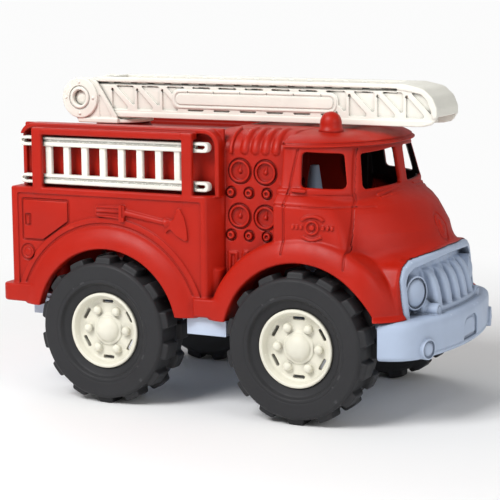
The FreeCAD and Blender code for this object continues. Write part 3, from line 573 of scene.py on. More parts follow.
def greenhouse(inset, top, top_blend, back, back_blend, low, high):
    """The window storey, leaning in towards the roof; inset is (front, side)."""
    def distance(x, y, z):
        front = level(z, [131, 155], [98.0, 94.0]) - inset[0]
        half = level(z, [131, 156], [65.6, 60.8]) - inset[1]
        gap = oval(x, y, front - CAB_BACK, half, level(z, [131, 155], [2.7, 2.2]))
        return soft_max(soft_max(gap, z - top, top_blend), back - x, back_blend)
    return Solid(distance, low, high)


# ----------------------------------------------------------------------
# body shell
# ----------------------------------------------------------------------
def side(outline, radii, inner=66):
    """An (x, z) outline run through the side wall."""
    return prism("y", rounded(outline, radii), inner, 80)


def rear(outline, radius):
    """A (y, z) outline run through the rear wall."""
    return prism("x", rounded(outline, radius), -140, -120)


def add_equipment_box(vol):
    # its front corner is cut back
    plan = rounded([(-129.7, PAST), (10.5, PAST), (10.5, 60), (3.8, 72.3), (-129.7, 72.3)],
                   [0, 0, 5, 3.0, 2.2])
    vol.add(prism("z", plan, 56.6, 127.0, 1.3))
    # deck, rack walls, rims
    vol.add(block((-126, PAST, 148), (10.0, 58.5, 156.0), 0.8))
    vol.add(block((-126, 57.0, 116), (10.0, 60.0, 165.0), 0.9), 2.5)
    outer = rounded(rect(-126, 110, 10.0, 165.0), [0, 0, 9.5, 9.5], 8)
    inner = rounded(rect(-123.3, 100, 7.2, 162.2), [0, 0, 7, 7], 8)
    rim = less(prism("y", outer, 57.2, 66.4, 1.0), prism("y", inner, 50, 80), 0.8)
    rim = less(rim, block((-140, 62.7, 100), (-112, 80, 158.4), 0.4), 0.6)
    rim = less(rim, block((-140, 60.4, 100), (30, 80, 126.0)), 0.3)
    vol.add(rim, 0.8)
    # posts, top bar, ladder seats
    for x in (-113.7, -11.3):
        vol.add(block((x, 68.9, 120), (x + 6.8, 72.3, 162.6), 0.9), 0.9)
        vol.add(block((x, 59, 120), (x + 6.7, 69.5, 128.7), 0.5), 0.6)
    vol.add(block((-113.6, 64.5, 158.6), (-4.6, 71.6, 162.7), 1.0), 0.8)
    # turntable plinth: (radius, z)
    plinth = [(0, 150), (24.0, 150), (24.0, 156.1), (21.4, 156.5), (19.0, 157.8), (17.4, 159.6),
              (16.7, 161.3), (16.2, 161.9), (0, 161.9)]
    vol.add(turned("z", (TURN_X, 0), plinth), 1.6)


def add_pump_section(vol):
    rolled = shoulder(17, 152, 12.2, np.linspace(0, math.pi / 2, 12))
    vol.add(prism("x", [(PAST, 50), (59, 50)] + rolled + [(PAST, 164.2)], 5.0, 51))
    # roll-top: a thin tall rib, then four broad ones with rounded feet
    rib = [point for grow, angles in ((2.2, np.linspace(0.02, 1.36, 12)),
                                      (-2.0, np.linspace(1.36, 0.02, 12)))
           for point in shoulder(17 + grow, 151.0, 12.6 + grow, angles)]
    vol.add(prism("x", rib, 13.9, 15.9, 0.7), 0.5)
    curve = shoulder(17 - 1.3, 152, 12.2 - 1.3, np.linspace(0.10, 1.62, 12))
    for x in (23.0, 29.6, 36.2, 42.8):
        vol.add(tube([(x + 0.2, y, z) for y, z in curve], 3.0, 2.4), 0.35)
    # gauges, knobs and valve handles on the pump panel
    for x, z in ((19.9, 141.0), (36.3, 140.7), (19.7, 115.0), (36.1, 114.7)):
        vol.cut(rod("y", (x, z), 7.6, 58.0, 62, 0.3))
        vol.add(ring("y", (x, z), 5.2, 6.5, 57, 59.9, 0.5), 0.2)
        vol.add(tube([(x, 58.2, z), (x + 0.7, 58.2, z + 3.8)], 0.75, 0.45), 0.2)
        vol.add(ball((x, 58.1, z), 1.4), 0.3)
    for x in (14.1, 25.7, 37.2):
        for z in (128.6, 103.8):
            vol.cut(rod("y", (x, z), 3.5, 57.8, 62, 0.3))
            vol.add(rod("y", (x, z), 2.3, 57, 60.3, 0.7), 0.3)
            vol.cut(rod("y", (x, z), 1.0, 59.2, 62, 0.2), 0.2)
    for handle in ([(13.2, 84), (13.2, 93.4), (17.6, 93.4), (17.6, 86.5)],
                   [(19.4, 88.5), (19.4, 81)],
                   [(21.4, 87.0), (22.6, 94.2), (24.4, 94.2), (24.4, 84)]):
        vol.add(tube([(x, 59, z) for x, z in handle], 1.15), 0.4)


def add_cab(vol):
    vol.add(nose((0, 0), (0, 0), CAB_TOP, CAB_BACK, 1.6,
                 (CAB_BACK, PAST, 54.5), (126.6, 70, 131.2)), 0.5)

    def door_block(x, y, z):
        gap = soft_max(y - cab_half_width(z), x - 92.0, 7.0)
        gap = soft_max(gap, (x - 92) * 0.60 + (z - 115.5) * 0.80, 18.0)
        return soft_max(soft_max(gap, z - CAB_TOP, 1.2), CAB_BACK - x, 1.6)
    vol.add(Solid(door_block, (CAB_BACK, PAST, 54.5), (92, 70, 131.2)), 7.0)

    # front block behind the grille: (y, z)
    outline = rounded(
        [(-60.5, 50), (60.5, 50), (60.5, 80), (56.0, 90.4), (46.5, 94.0), (30, 95.5), (12, 97.0),
         (-12, 97.0), (-30, 95.5), (-46.5, 94.0), (-56.0, 90.4), (-60.5, 80)],
        [0, 0, 8, 6, 6, 6, 10, 10, 6, 6, 6, 8], 6)

    def front_block(x, y, z):
        gap = grille_radius(x, y) - level(z, [60, 84, 92, 97], [199.6, 198.0, 196.8, 195.0])
        return np.maximum(soft_max(gap, flat_distance(y, z, outline), 2.0), 80 - x)
    vol.add(Solid(front_block, (80, PAST, 54.5), (128.0, 62, 97.6)), 7.0)
    vol.add(greenhouse((0, 0), 157, 0.3, CAB_BACK, 1.4,
                       (CAB_BACK, PAST, 125), (100, 67, 157)), 1.6)

    # crowned roof with its double gutter; the power stays single precision
    def roof(x, y, z):
        plan = oval(x, y, 49.5, 62.6, F32(2.05))
        top = 157.3 + 6.6 * (1 - np.exp(-np.clip(-plan, 0, 60) / 8.5))
        gap = soft_max(soft_max(plan, CAB_BACK - x, 0.8), (z - top) * 0.84, 0.9)
        return soft_max(gap, 155.9 - z, 0.7)
    vol.add(Solid(roof, (CAB_BACK, PAST, 155), (100, 64, 165)), 0.4)
    vol.engrave(Solid(lambda x, y, z: np.abs(z - 157.5) - 0.5,
                      (48.6, PAST, 156.5), (102, 66, 158.6)), 0.7)


def flare(centre, radius, trim_front):
    """A bulging band around a wheel opening; trim_front bevels its front outer corner."""
    def distance(x, y, z):
        rho = np.sqrt((x - centre) ** 2 + (z - ARCH_Z) ** 2)
        out = (rho - 47.0) / (radius - 47.0)
        face = 76.0 - 4.8 * np.clip(out, 0, 1.2) ** 2.4 - 0.9 * np.clip(0.10 - out, 0, 0.2) / 0.10
        gap = soft_max(rho - radius, (y - face) * 0.93, 2.6)
        if trim_front:
            foot = 6 * np.clip((65 - z) / 4, 0, 1)
            gap = soft_max(gap, (x - 109.0) * 0.707 + (y - 70.5) * 0.707 - foot, 6.0)
        return soft_max(soft_max(gap, 44.0 - rho, 0.5), 55.5 - z, 0.5)
    return Solid(distance, (centre - radius, 40, 55), (centre + radius, 76.5, ARCH_Z + radius))


def add_steps_and_flares(vol):
    step = rounded(rect(-136.2, PAST, -100, 74.2), [0, 0, 0, 4.5])
    vol.add(prism("z", step, 56.6, 67.5, 1.4), 1.2)
    vol.add(block((-4, 40, 56.6), (18, 74.2, 67.5), 1.4), 1.2)
    vol.add(flare(REAR_ARCH, 60.5, False), 1.3)
    vol.add(flare(FRONT_ARCH, 61.0, True), 1.3)


def carve_side_panel(vol):
    """Sunk side panel that follows the arch, with its door, cap and axe."""
    arch = (REAR_ARCH, ARCH_Z)
    panel = side(rect(-124.7, 60, 0.9, 123.2), 1.4)
    vol.engrave(less(panel, rod("y", arch, 66.2, 60, 90), 1.0), 1.15, 0.2)
    band = common(ring("y", arch, 61.4, 62.8, 66, 80), block((-122, 60, 68.5), (3, 90, 120)))
    vol.engrave(band, 0.8, 0.2)
    seam = [(-122.2, 94.2), (-106.7, 94.2), (-88.6, 106.5), (-88.6, 120.1), (-122.2, 120.1)]
    door = [(-121.0, 95.4), (-107.1, 95.4), (-89.8, 107.1), (-89.8, 118.9), (-121.0, 118.9)]
    vol.engrave(less(side(seam, 1.4), prism("y", rounded(door, 0.8), 60, 90)), 0.8, 0.2)
    vol.emboss(side(door, 0.8), 0.35, 0.2)
    vol.engrave(side(rect(-119.8, 103.4, -115.6, 110.6), 0.6), 0.8, 0.2)
    vol.emboss(side(rect(-118.7, 104.3, -116.7, 109.7), 0.5), 1.0, 0.2)
    cap = (-118.4, 87.0)
    vol.engrave(rod("y", cap, 5.2, 66, 80), 0.7, 0.2)
    vol.emboss(rod("y", cap, 4.1, 66, 80), 1.1, 0.3)
    vol.engrave(ring("y", cap, 2.2, 3.1, 66, 80), 0.5, 0.2)
    # axe: grip with two grooves, collar, shaft, head
    grip = [(-69.6, 111.9), (-52.3, 110.9), (-52.3, 118.2), (-69.6, 118.1)]
    vol.emboss(side(grip, [1.8, 0.4, 0.4, 1.8]), 1.3, 0.3)
    for z in (113.5, 116.1):
        vol.engrave(tube([(-68, 72.3, z), (-53.4, 72.3, z)], 0.75), 0.6, 0.1)
    collar = [(-52.6, 109.4), (-49.3, 109.2), (-49.3, 118.8), (-52.6, 119.4)]
    vol.emboss(side(collar, 0.9), 1.8, 0.3)
    vol.add(tube([(-50, 70.9, 114.6), (-22, 70.9, 110.0)], 2.0, 1.7), 0.3)
    head = [(-23.6, 113.2), (-21.0, 112.6), (-17.2, 111.5), (-14.6, 118.6), (-12.6, 119.2),
            (-9.6, 113.8), (-8.0, 107.0), (-7.6, 100.8), (-9.4, 100.2), (-15.0, 103.0),
            (-18.8, 106.4), (-20.4, 106.0), (-22.6, 103.4), (-22.2, 108.6)]
    vol.emboss(side(head, [0.8, 0.6, 2.0, 0.8, 1.2, 5, 5, 0.8, 0.8, 3, 1.0, 0.5, 0.5, 1]), 1.5, 0.3)


def carve_rear(vol):
    """Framed doors, a middle seam, two handles and a plain lamp each side."""
    vol.engrave(rear(rect(-20, 72.0, 64.0, 121.5), 2.0), 0.9, 0.25)
    vol.engrave(block((-140, -0.6, 75), (-120, 0.6, 118.5)), 0.8, 0.2)
    vol.emboss(rear(rect(3.4, 92, 6.2, 106), 1.2), 1.5, 0.4)
    vol.emboss(rear(rect(52, 78, 59.5, 92), 2.2), 1.3, 0.4)
    vol.engrave(rear(rect(53.4, 79.4, 58.1, 90.6), 1.4), 0.6, 0.2)


def shut_line(places):
    """A narrow upright slot through (x, z) places."""
    xs, zs = zip(*places)
    return Solid(lambda x, y, z: np.maximum(np.abs(x - level(z, zs, xs)) - 0.6, z - (zs[-1] - 0.9)),
                 (min(xs) - 2, 38, zs[0]), (max(xs) + 2, 73, zs[-1]))


def carve_door_lines(vol):
    """Rear shut line, front one along the leaning pillar, crease and sill lines."""
    vol.engrave(shut_line([(53.3, 96), (53.3, 124), (54.9, 140), (57.4, 156)]), 0.75, 0.15)
    vol.engrave(shut_line([(91.2, 92), (90.6, 105), (89.6, 114), (88.3, 121.5), (87.6, 126.6),
                           (86.4, 134), (84.4, 150), (84.0, 156)]), 0.75, 0.15)
    vol.engrave(Solid(lambda x, y, z: np.abs(z - 124.4 + (x - 48) * 0.04) - 0.5,
                      (48.6, 44, 120), (96, 72, 126)), 0.55, 0.2)
    vol.engrave(Solid(lambda x, y, z: np.abs(z - 130.2 + (x - 48) * 0.03) - 0.45,
                      (48.6, 52, 127), (88, 72, 132)), 0.45, 0.15)
    # small bar at the rear of the sill line
    vol.emboss(side([(56.2, 131.6), (64.6, 131.2), (64.6, 133.2), (56.2, 133.6)], 0.9, 55), 1.5, 0.4)


def emboss_medallion(vol):
    """Blank medallion: ring, hub, arcs above and below, plain studs either side."""
    cx, cz = centre = (70.6, 112.6)
    vol.emboss(ring("y", centre, 2.9, 4.2, 55, 80), 1.0, 0.15)
    vol.emboss(rod("y", centre, 1.6, 55, 80), 0.9, 0.15)
    for first, last, radius in ((38, 142, 6.9), (226, 314, 7.2)):
        arc = [(cx + (radius + grow) * math.cos(math.radians(angle)) * 1.15,
                cz + (radius + grow) * math.sin(math.radians(angle)) * 0.92)
               for grow, angles in ((0.9, np.linspace(first, last, 11)),
                                    (-0.9, np.linspace(last, first, 11)))
               for angle in angles]
        vol.emboss(prism("y", arc, 55, 80), 0.95, 0.15)
    for sign in (-1, 1):
        for offset in (6.4, 9.0, 11.4):
            x = cx + sign * offset
            vol.emboss(side(rect(x - 0.85, cz - 1.3, x + 0.85, cz + 1.3), 0.8, 55), 0.9, 0.15)


def trim_nose(vol):
    """Vent ridges on the cowl, a blank oval, and room for the moulding and bumper."""
    for ridge, radius, end_radius, height in (
            ([(95.6, 34.6, 128.2), (97.4, 22.6, 129.6), (98.6, 11.0, 130.4)], 1.1, 0.7, 1.1),
            ([(97.2, 35.0, 126.6), (99.6, 22.6, 127.8), (101.2, 10.6, 128.4)], 0.8, 0.5, 0.8)):
        vol.emboss(tube(ridge, radius, end_radius), height, 0.4)
    reach = ((108, PAST, 98), (128, 8, 116))
    vol.engrave(Solid(lambda x, y, z: np.abs(np.sqrt((y / 6.4) ** 2 + ((z - 107) / 7.6) ** 2) - 1)
                      * 6.8 - 0.7, *reach), 0.6, 0.2)
    vol.emboss(Solid(lambda x, y, z: np.sqrt((y / 2.6) ** 2 + ((z - 107) / 4.2) ** 2) * 3.2 - 3.2,
                     *reach), 0.6, 0.3)
    vol.cut(Solid(lambda x, y, z: np.maximum(190.8 - grille_radius(x, y),
                                             flat_distance(y, z, FRAME_OUTLINE) - 0.2),
                  (105, PAST, 50), (130, 60, 97.6)), 0.2)
    vol.cut(block((104.5, -20, 40), (150, 90, 62.06)), 0.2)


def hollow_body(vol):
    plan = rounded([(-126, PAST), (8.0, PAST), (8.0, 57.0), (0.9, 69.2), (-126, 69.2)],
                   [0, 0, 3, 3, 2])
    vol.cut(prism("z", plan, 40, 124.5, 1.0))
    vol.cut(block((-123.5, PAST, 100), (30, 55.0, 153.5), 1.0))
    rolled = shoulder(14.4, 151, 9.8, np.linspace(0, math.pi / 2, 10))
    vol.cut(prism("x", [(PAST, 40), (56.4, 40)] + rolled + [(PAST, 161.2)], 10.5, 56, 0.5))
    vol.cut(nose((4, 2), (3.5, 2.8), 128.4, 51, 1.0, (51, PAST, 40), (123, 67.5, 128.4)))
    vol.cut(Solid(lambda x, y, z: soft_max(soft_max(grille_radius(x, y) - 188.6, y - 55.5, 4.0),
                                           z - 90.0, 2.0), (60, PAST, 40), (119, 55.5, 90.0)))
    vol.cut(greenhouse((3.0, 2.8), 155.0, 0.8, 51, 0.6, (51, PAST, 120), (96, 64, 155)))
    vol.cut(prism("z", rounded(rect(50, PAST, 80, 44), 6), 150, 159.8, 2.5))
    # wheel wells
    below = Solid(lambda x, y, z: 30 - z, (-200, 0, 0), (200, 100, 200))
    for centre in (REAR_ARCH, FRONT_ARCH):
        vol.cut(common(rod("y", (centre, ARCH_Z), 47.5, 30, 90), below), 0.8)
        vol.cut(block((centre - 46.0, 30, 30), (centre + 46.0, 90, 57.5)), 0.4)
    # side window, windscreen pane
    window = [(60.6, 134.0), (84.0, 132.8), (79.9, 152.2), (59.4, 153.6)]
    vol.cut(side(window, 2.4, 38), 0.9)
    pane = [(4.6, 132.3), (44.2, 131.9), (38.6, 151.6), (5.2, 153.2)]
    vol.cut(prism("x", rounded(pane, 2.4), 74, 112), 0.9)
    # turntable bore, bosses
    vol.cut(rod("z", (TURN_X, 0), 10.1, 140, 170))
    for centre in ((-120.0, 30.0), (6.0, 62.0)):
        vol.add(rod("z", centre, 4.6, 56.8, 84, 0.6), 1.5)
        vol.cut(rod("z", centre, 1.5, 40, 76))


def body_volume():
    vol = Volume((-138, 0, 54.5), (127.5, 78.2, 167.5), 0.52)
    for work in (add_equipment_box, add_pump_section, add_cab, add_steps_and_flares,
                 carve_side_panel, carve_rear, carve_door_lines, emboss_medallion,
                 trim_nose, hollow_body):
        work(vol)
    return vol


# ----------------------------------------------------------------------
# grille and bumper moulding
# ----------------------------------------------------------------------
# the bars' centre heights of change, and the radius of their backing and their faces there
BAR_Z = [60.0, 64.0, 71.0, 76.0, 79.4, 82.0, 84.2, 85.8, 86.8]
BACKING_RADIUS = [198.2, 198.0, 197.2, 196.2, 195.4, 194.8, 194.2, 193.4, 192.6]
BAR_RADIUS = [204.6, 204.4, 203.4, 202.2, 200.9, 199.5, 197.8, 195.8, 193.4]


def add_frame(vol):
    """Curved frame that leans back, with a rounded mouth."""
    def outer(x, y, z):
        gap = soft_max(grille_radius(x, y) - level(z, [58, 96], [201.4, 197.4]),
                       flat_distance(y, z, FRAME_OUTLINE), 2.6)
        return soft_max(gap, 191.0 - grille_radius(x, y), 0.3)
    vol.add(Solid(outer, (110, -10, 55), (131, 62, 97)))
    mouth = rounded([(-10, 58), (52.0, 58), (52.2, 63), (52.6, 82), (49.8, 86.4), (43.6, 89.2),
                     (28, 90.6), (14, 91.5), (0, 92.1), (-10, 92.1)],
                    [0, 3, 4, 6, 5, 5, 6, 0, 0, 0])
    vol.cut(Solid(lambda x, y, z: soft_max(flat_distance(y, z, mouth),
                                           192.0 - grille_radius(x, y), 0.8),
                  (112, -10, 58), (135, 55.4, 92.4)), 0.9)


def tilted(centre, degrees, shape, low, high):
    """shape(along, square of the distance from the axis) about a level axis through a centre,
    turned from +x towards +y."""
    cos, sin = math.cos(math.radians(degrees)), math.sin(math.radians(degrees))

    def distance(x, y, z):
        along = (x - centre[0]) * cos + (y - centre[1]) * sin
        across = -(x - centre[0]) * sin + (y - centre[1]) * cos
        return shape(along, across * across + (z - centre[2]) ** 2)
    return Solid(distance, low, high)


def disc(radius, start, end, edge):
    return lambda along, off: join(
        np.sqrt(off) - radius, np.abs(along - (start + end) / 2) - (end - start) / 2, edge)


def dome(radius, flat):
    return lambda along, off: (np.sqrt(off + (along / flat) ** 2) - radius) * flat


def add_head_lamp(vol):
    """Housing, rim and domed lens."""
    lamp, lens = (122.6, 43.6, 75), (120.6, 43.0, 75)
    vol.add(tilted(lamp, 17, disc(9.8, -9, 0.4, 0.8), *around(lamp, 10.8)), 0.6)
    vol.cut(tilted(lamp, 17, disc(8.8, -1.4, 6, 0.2), *around(lamp, 9.8)), 0.3)
    vol.add(tilted(lens, 17, dome(8.35, 0.50), *around(lens, 8.35)), 0.2)


def grille_bar(angle):
    """One upright bar, its top rolled back into the mouth."""
    cos, sin = math.cos(angle), math.sin(angle)

    def distance(x, y, z):
        across = -(x + 71.5) * sin + y * cos
        rho = grille_radius(x, y)
        gap = soft_max(np.abs(across) - 3.4, rho - level(z, BAR_Z, BAR_RADIUS), 2.8)
        return np.maximum(gap, 191.0 - rho)
    return Solid(distance, (110, 204 * sin - 4 - 1, 59), (134, 204 * sin + 4, 91))


def add_grille(vol):
    """Five upright bars on a bulging centre, and the low rail that they stand on."""
    def backing(x, y, z):
        rho = grille_radius(x, y)
        gap = soft_max(rho - level(z, BAR_Z, BACKING_RADIUS), y - 29.4, 2.0)
        return np.maximum(gap, 191.0 - rho)
    vol.add(Solid(backing, (112, -10, 58), (134, 30, 91)), 0.8)
    for k in range(3):
        vol.add(grille_bar(math.radians(3.7 * k)), 0.5)

    def rail(x, y, z):
        rho = grille_radius(x, y)
        gap = soft_max(rho - 205.0, y - 30.2, 2.0)
        return np.maximum(join(gap, np.abs(z - 63.6) - 1.7, 1.2), 191.0 - rho)
    vol.add(Solid(rail, (110, -10, 61), (134.5, 31, 66.2)), 0.5)
    # bullet markers
    vol.add(rod("x", (33.2, 64.8), 5.6, 114, 125.5, 2.4, 5.2), 1.0)
    vol.add(rod("x", (32.2, 63.8), 4.2, 118, 132.4, 1.5), 0.6)
    vol.cut(ring("x", (32.2, 63.8), 2.6, 3.1, 131.7, 134), 0.2)


def bumper_plan(x, y, radius, half_width, blend):
    return soft_max(np.sqrt((x + 42) ** 2 + y * y) - radius, y - half_width, blend)


def add_bumper(vol):
    """One bent wall with soft edges and a shallow lengthwise step low on it."""
    def bumper(x, y, z):
        gap = bumper_plan(x, y, 182.0, 71.4, 17.0) + 0.9 * np.clip((z - 56) / 6, 0, 1) ** 2
        return soft_max(join(gap, np.abs(z - 51) - 11, 2.8), 110 - x, 0.6)
    vol.add(Solid(bumper, (110, PAST, 40), (140.4, 71.4, 62)), 0.6)
    vol.engrave(Solid(lambda x, y, z: np.abs(z - 43.2) - 0.45,
                      (118, PAST, 42), (141, 46, 44.4)), 0.4, 0.3)
    # fog lamps
    lamp, reach = (132.4, 52.0, 45.6), ((126, 44, 39), (136, 60, 52))
    vol.add(tilted(lamp, 16.6, disc(6.0, -4, 1.8, 0.8), *reach), 0.5)
    vol.cut(tilted(lamp, 16.6, disc(5.0, -4, 4.0, 0.1), *reach), 0.2)
    vol.add(tilted(lamp, 16.6, disc(6.0, -4, 0.4, 0.2), *reach), 0.1)
    vol.add(tilted(lamp, 16.6, dome(4.25, 0.5), (128, 46, 40), (136, 58, 51)), 0.2)
    # blank arched plate in its recess
    recess = rounded([(-11.0, 43.4), (11.0, 43.4), (11.0, 53.0), (6.2, 56.6), (-6.2, 56.6),
                      (-11.0, 53.0)], [0.8, 0.8, 3, 5, 5, 3])
    plate = rounded([(-9.0, 45.0), (9.0, 45.0), (9.0, 51.8), (5.0, 54.8), (-5.0, 54.8),
                     (-9.0, 51.8)], [0.6, 0.6, 3, 5, 5, 3])
    vol.engrave(prism("x", recess, 125, 145), 1.6, 0.5)
    vol.emboss(prism("x", plate, 125, 145), 0.5, 0.3)
    # hollow behind, with a shelf and its screw hole
    vol.cut(Solid(lambda x, y, z: np.maximum(
        soft_max(bumper_plan(x, y, 178.4, 67.4, 14.0), z - 59.4, 1.0), 60 - x),
        (60, PAST, 30), (137, 67.4, 59.4)))
    vol.add(block((99, PAST, 51.0), (136, 30, 53.6), 0.5), 0.6)
    vol.cut(rod("z", (104.1 + 1.9, 22.0), 1.5, 50, 70))


def fascia_volume():
    vol = Volume((97, 0, 38.8), (141.6, 73, 98.6), 0.42)
    for work in (add_frame, add_head_lamp, add_grille, add_bumper):
        work(vol)
    return vol


# ----------------------------------------------------------------------
# wheels, drawn about their own axis with the outer face towards +y
# ----------------------------------------------------------------------
def tread_blocks(middle, half, turn):
    """A row of 14 blocks round the tyre, started a share of a pitch round."""
    pitch = 2 * math.pi / 14

    def distance(x, y, z):
        rho = np.sqrt(x * x + z * z)
        count = np.arctan2(x, z) / pitch + turn
        around_tyre = np.abs(count - np.round(count)) * pitch * rho
        gap = soft_max(around_tyre - 5.3 + 0.14 * (rho - 40),
                       np.abs(y - middle) - half + 0.25 * (rho - 40), 1.0)
        return np.maximum(soft_max(gap, rho - 44.0, 1.0), 39.3 - rho)
    return Solid(distance, (-44.2, middle - half, -44.2), (44.2, middle + half, 44.2))


def tyre_volume():
    vol = Volume((-45.4, 48.4, -45.4), (45.4, 80.4, 45.4), 0.46)
    profile = rounded([(22.75, 51.2), (27.5, 49.5), (38.4, 49.5), (40.4, 51.8), (40.6, 77.9),
                       (39.2, 79.4), (28.9, 79.4), (27.4, 76.9), (22.75, 75.2)],
                      [0.4, 1.0, 1.5, 1.5, 1.4, 1.4, 1.0, 1.6, 0.4], 6)
    vol.add(turned("y", (0, 0), profile))
    vol.add(tread_blocks(70.4, 6.9, 0.0), 0.7)
    vol.add(tread_blocks(56.0, 5.2, 0.5), 0.7)
    # fine moulding line round the sidewall
    vol.cut(ring("y", (0, 0), 30.6, 31.1, 79.1, 81), 0.3)
    return vol


def hub_volume():
    vol = Volume((-23.6, 56.4, -23.6), (23.6, 77.8, 23.6), 0.28)
    profile = rounded([(-1, 57.4), (5.6, 57.4), (6.2, 68.8), (18.4, 68.8), (19.6, 57.4),
                       (22.68, 57.4), (22.68, 76.8), (20.7, 76.8), (19.2, 72.0), (16.5, 71.3),
                       (-1, 71.3)],
                      [0, 0.5, 1.5, 1.5, 0.5, 0.6, 0.9, 1.0, 1.8, 4, 0], 6)
    vol.add(turned("y", (0, 0), [(max(radius, 0.0), y) for radius, y in profile]))
    vol.add(rod("y", (0, 0), 9.6, 70, 72.2, 0.8), 0.8)
    vol.add(ball((0, 70.6, 0), 8.2, 0.70), 0.5)
    # six domed nuts, with a slot between each two
    for k in range(6):
        slot_angle = math.radians(60 * k)
        nut_angle = slot_angle + math.radians(30)
        nut_x, nut_z = 12.9 * math.sin(nut_angle), 12.9 * math.cos(nut_angle)
        vol.add(rod("y", (nut_x, nut_z), 2.7, 70, 73.8, 0.6, 2.4), 0.6)
        vol.add(ball((nut_x, 73.4, nut_z), 2.35, 0.72), 0.4)
        sin, cos = math.sin(slot_angle), math.cos(slot_angle)
        slot = [(16.9 * sin + cos * i * 3.7 + sin * j * 0.95,
                 16.9 * cos + -sin * i * 3.7 + cos * j * 0.95)
                for i, j in ((-1, -1), (1, -1), (1, 1), (-1, 1))]
        vol.cut(prism("y", rounded(slot, 0.8), 60, 80), 0.35)
    vol.cut(rod("y", (0, 0), 2.95, 50, 69.5))
    return vol


# ----------------------------------------------------------------------
# ladder, turntable, side ladders, beacons
# ----------------------------------------------------------------------
TURN_X = -92                    # the turntable's upright axis, on y = 0
PIVOT_X, PIVOT_Z = PIVOT = (-111.0, 177.3)


def carve_truss(vol):
    """Truss bays pressed into each side, with a blank plaque over the middle."""
    behind_plaque = prism("y", rounded(rect(-47.5, 171.6, 63.0, 184.2), 5), 10, 25)
    for k in range(12):
        x = -89.6 + 17.7 * k
        lower = rounded([(x, 183.2), (x, 170.6), (x + 12.6, 170.6)], [0.4, 0.7, 1.2])
        if k < 11:
            upper = rounded([(x + 2.6, 185.2), (x + 14.6, 185.2), (x + 15.8, 184.0),
                             (x + 15.8, 172.2)], [0.5, 0.5, 0.5, 1.0])
        else:
            upper = rounded([(x + 2.6, 185.4), (x + 9.0, 184.6), (x + 12.8, 181.0),
                             (x + 15.2, 175.0), (x + 15.6, 172.6)], [0.5, 4, 4, 2, 0.5])
        for outline in (lower, upper):
            bay = prism("y", outline, 14, 20)
            if -64 < x < 62:
                bay = less(bay, behind_plaque)
            vol.engrave(bay, 1.25, 0.2)
        vol.engrave(rod("y", (x + 0.2, 182.6), 0.9, 14, 20), 1.6, 0.2)
    plaque = rounded(rect(-46.5, 172.4, 62.0, 183.4), 4.5, 6)
    vol.emboss(prism("y", plaque, 14, 20), 0.55, 0.25)
    vol.engrave(less(prism("y", rounded(rect(-45.1, 173.8, 60.6, 182.0), 3.4), 14, 20),
                     prism("y", rounded(rect(-44.3, 174.6, 59.8, 181.2), 2.8), 10, 25)), 0.5, 0.2)


def ladder_volume():
    vol = Volume((-124.2, 0, 164.6), (126.0, 20.2, 191.2), 0.36)
    beam = rounded([(-122.6, 177.0), (-111.2, 165.7), (113.0, 165.7), (121.6, 167.8),
                    (124.0, 171.6), (123.6, 176.6), (119.6, 182.4), (113.8, 186.4),
                    (100, 187.8), (-107, 187.8)], [11, 11, 10, 3, 3, 8, 8, 8, 10, 11], 7)
    vol.add(prism("y", beam, -20, 17.2, 0.7))
    # top rails that overhang the sides and sweep down over the front end
    hood = rounded([(-102.5, 187.2), (95, 187.2), (110, 185.2), (116.6, 180.6), (120.3, 173.4),
                    (121.6, 169.6), (124.0, 171.6), (123.9, 176.6), (121.2, 182.6),
                    (115.4, 187.6), (104.0, 190.0), (-98.5, 190.3)],
                   [0.5, 12, 9, 8, 4, 0.8, 1.2, 6, 7, 9, 12, 3], 7)
    vol.add(prism("y", hood, -20, 18.0, 0.9), 0.3)
    vol.engrave(Solid(lambda x, y, z: np.abs(z - 186.6) - 0.75,
                      (-101, 12, 185.8), (98, 19, 187.4)), 1.2, 0.15)
    lower_rail = rounded([(-102, 165.9), (120, 165.9), (121.6, 169.2), (-100, 169.0)], 0.6)
    vol.emboss(prism("y", lower_rail, 14, 20), 0.45, 0.3)
    carve_truss(vol)
    # hollow between the sides, open above between the rungs and below
    hollow = rounded([(-97.5, 150), (112.4, 150), (119.6, 170), (119.0, 175.6), (114.6, 181.4),
                      (108.6, 184.8), (96, 186.2), (-97.5, 186.2)], [0, 0, 2, 6, 8, 8, 6, 3], 6)
    vol.cut(prism("y", hollow, -20, 14.4, 0.5))
    vol.cut(prism("y", rounded(rect(-95.5, 180, 93.5, 200), [0, 0, 3, 3]), -20, 12.6, 0.4), 0.8)
    vol.cut(block((112, -20, 160), (130, 15.4, 171.4), 0.3), 0.6)
    for k in range(16):
        x = -88.0 + 11.9 * k
        vol.add(block((x - 1.9, -20, 184.4), (x + 1.9, 14.6, 189.0), 1.6), 0.8)
    for k in range(7):
        x = -80.0 + 29.7 * k
        vol.add(block((x - 2.0, -20, 166.2), (x + 2.0, 14.9, 169.4), 0.9), 0.8)
    # knuckle that the pin runs through
    vol.add(rod("y", PIVOT, 11.6, -20, 17.2, 0.8), 0.5)
    vol.cut(rod("y", PIVOT, 4.68, -30, 30))
    return vol


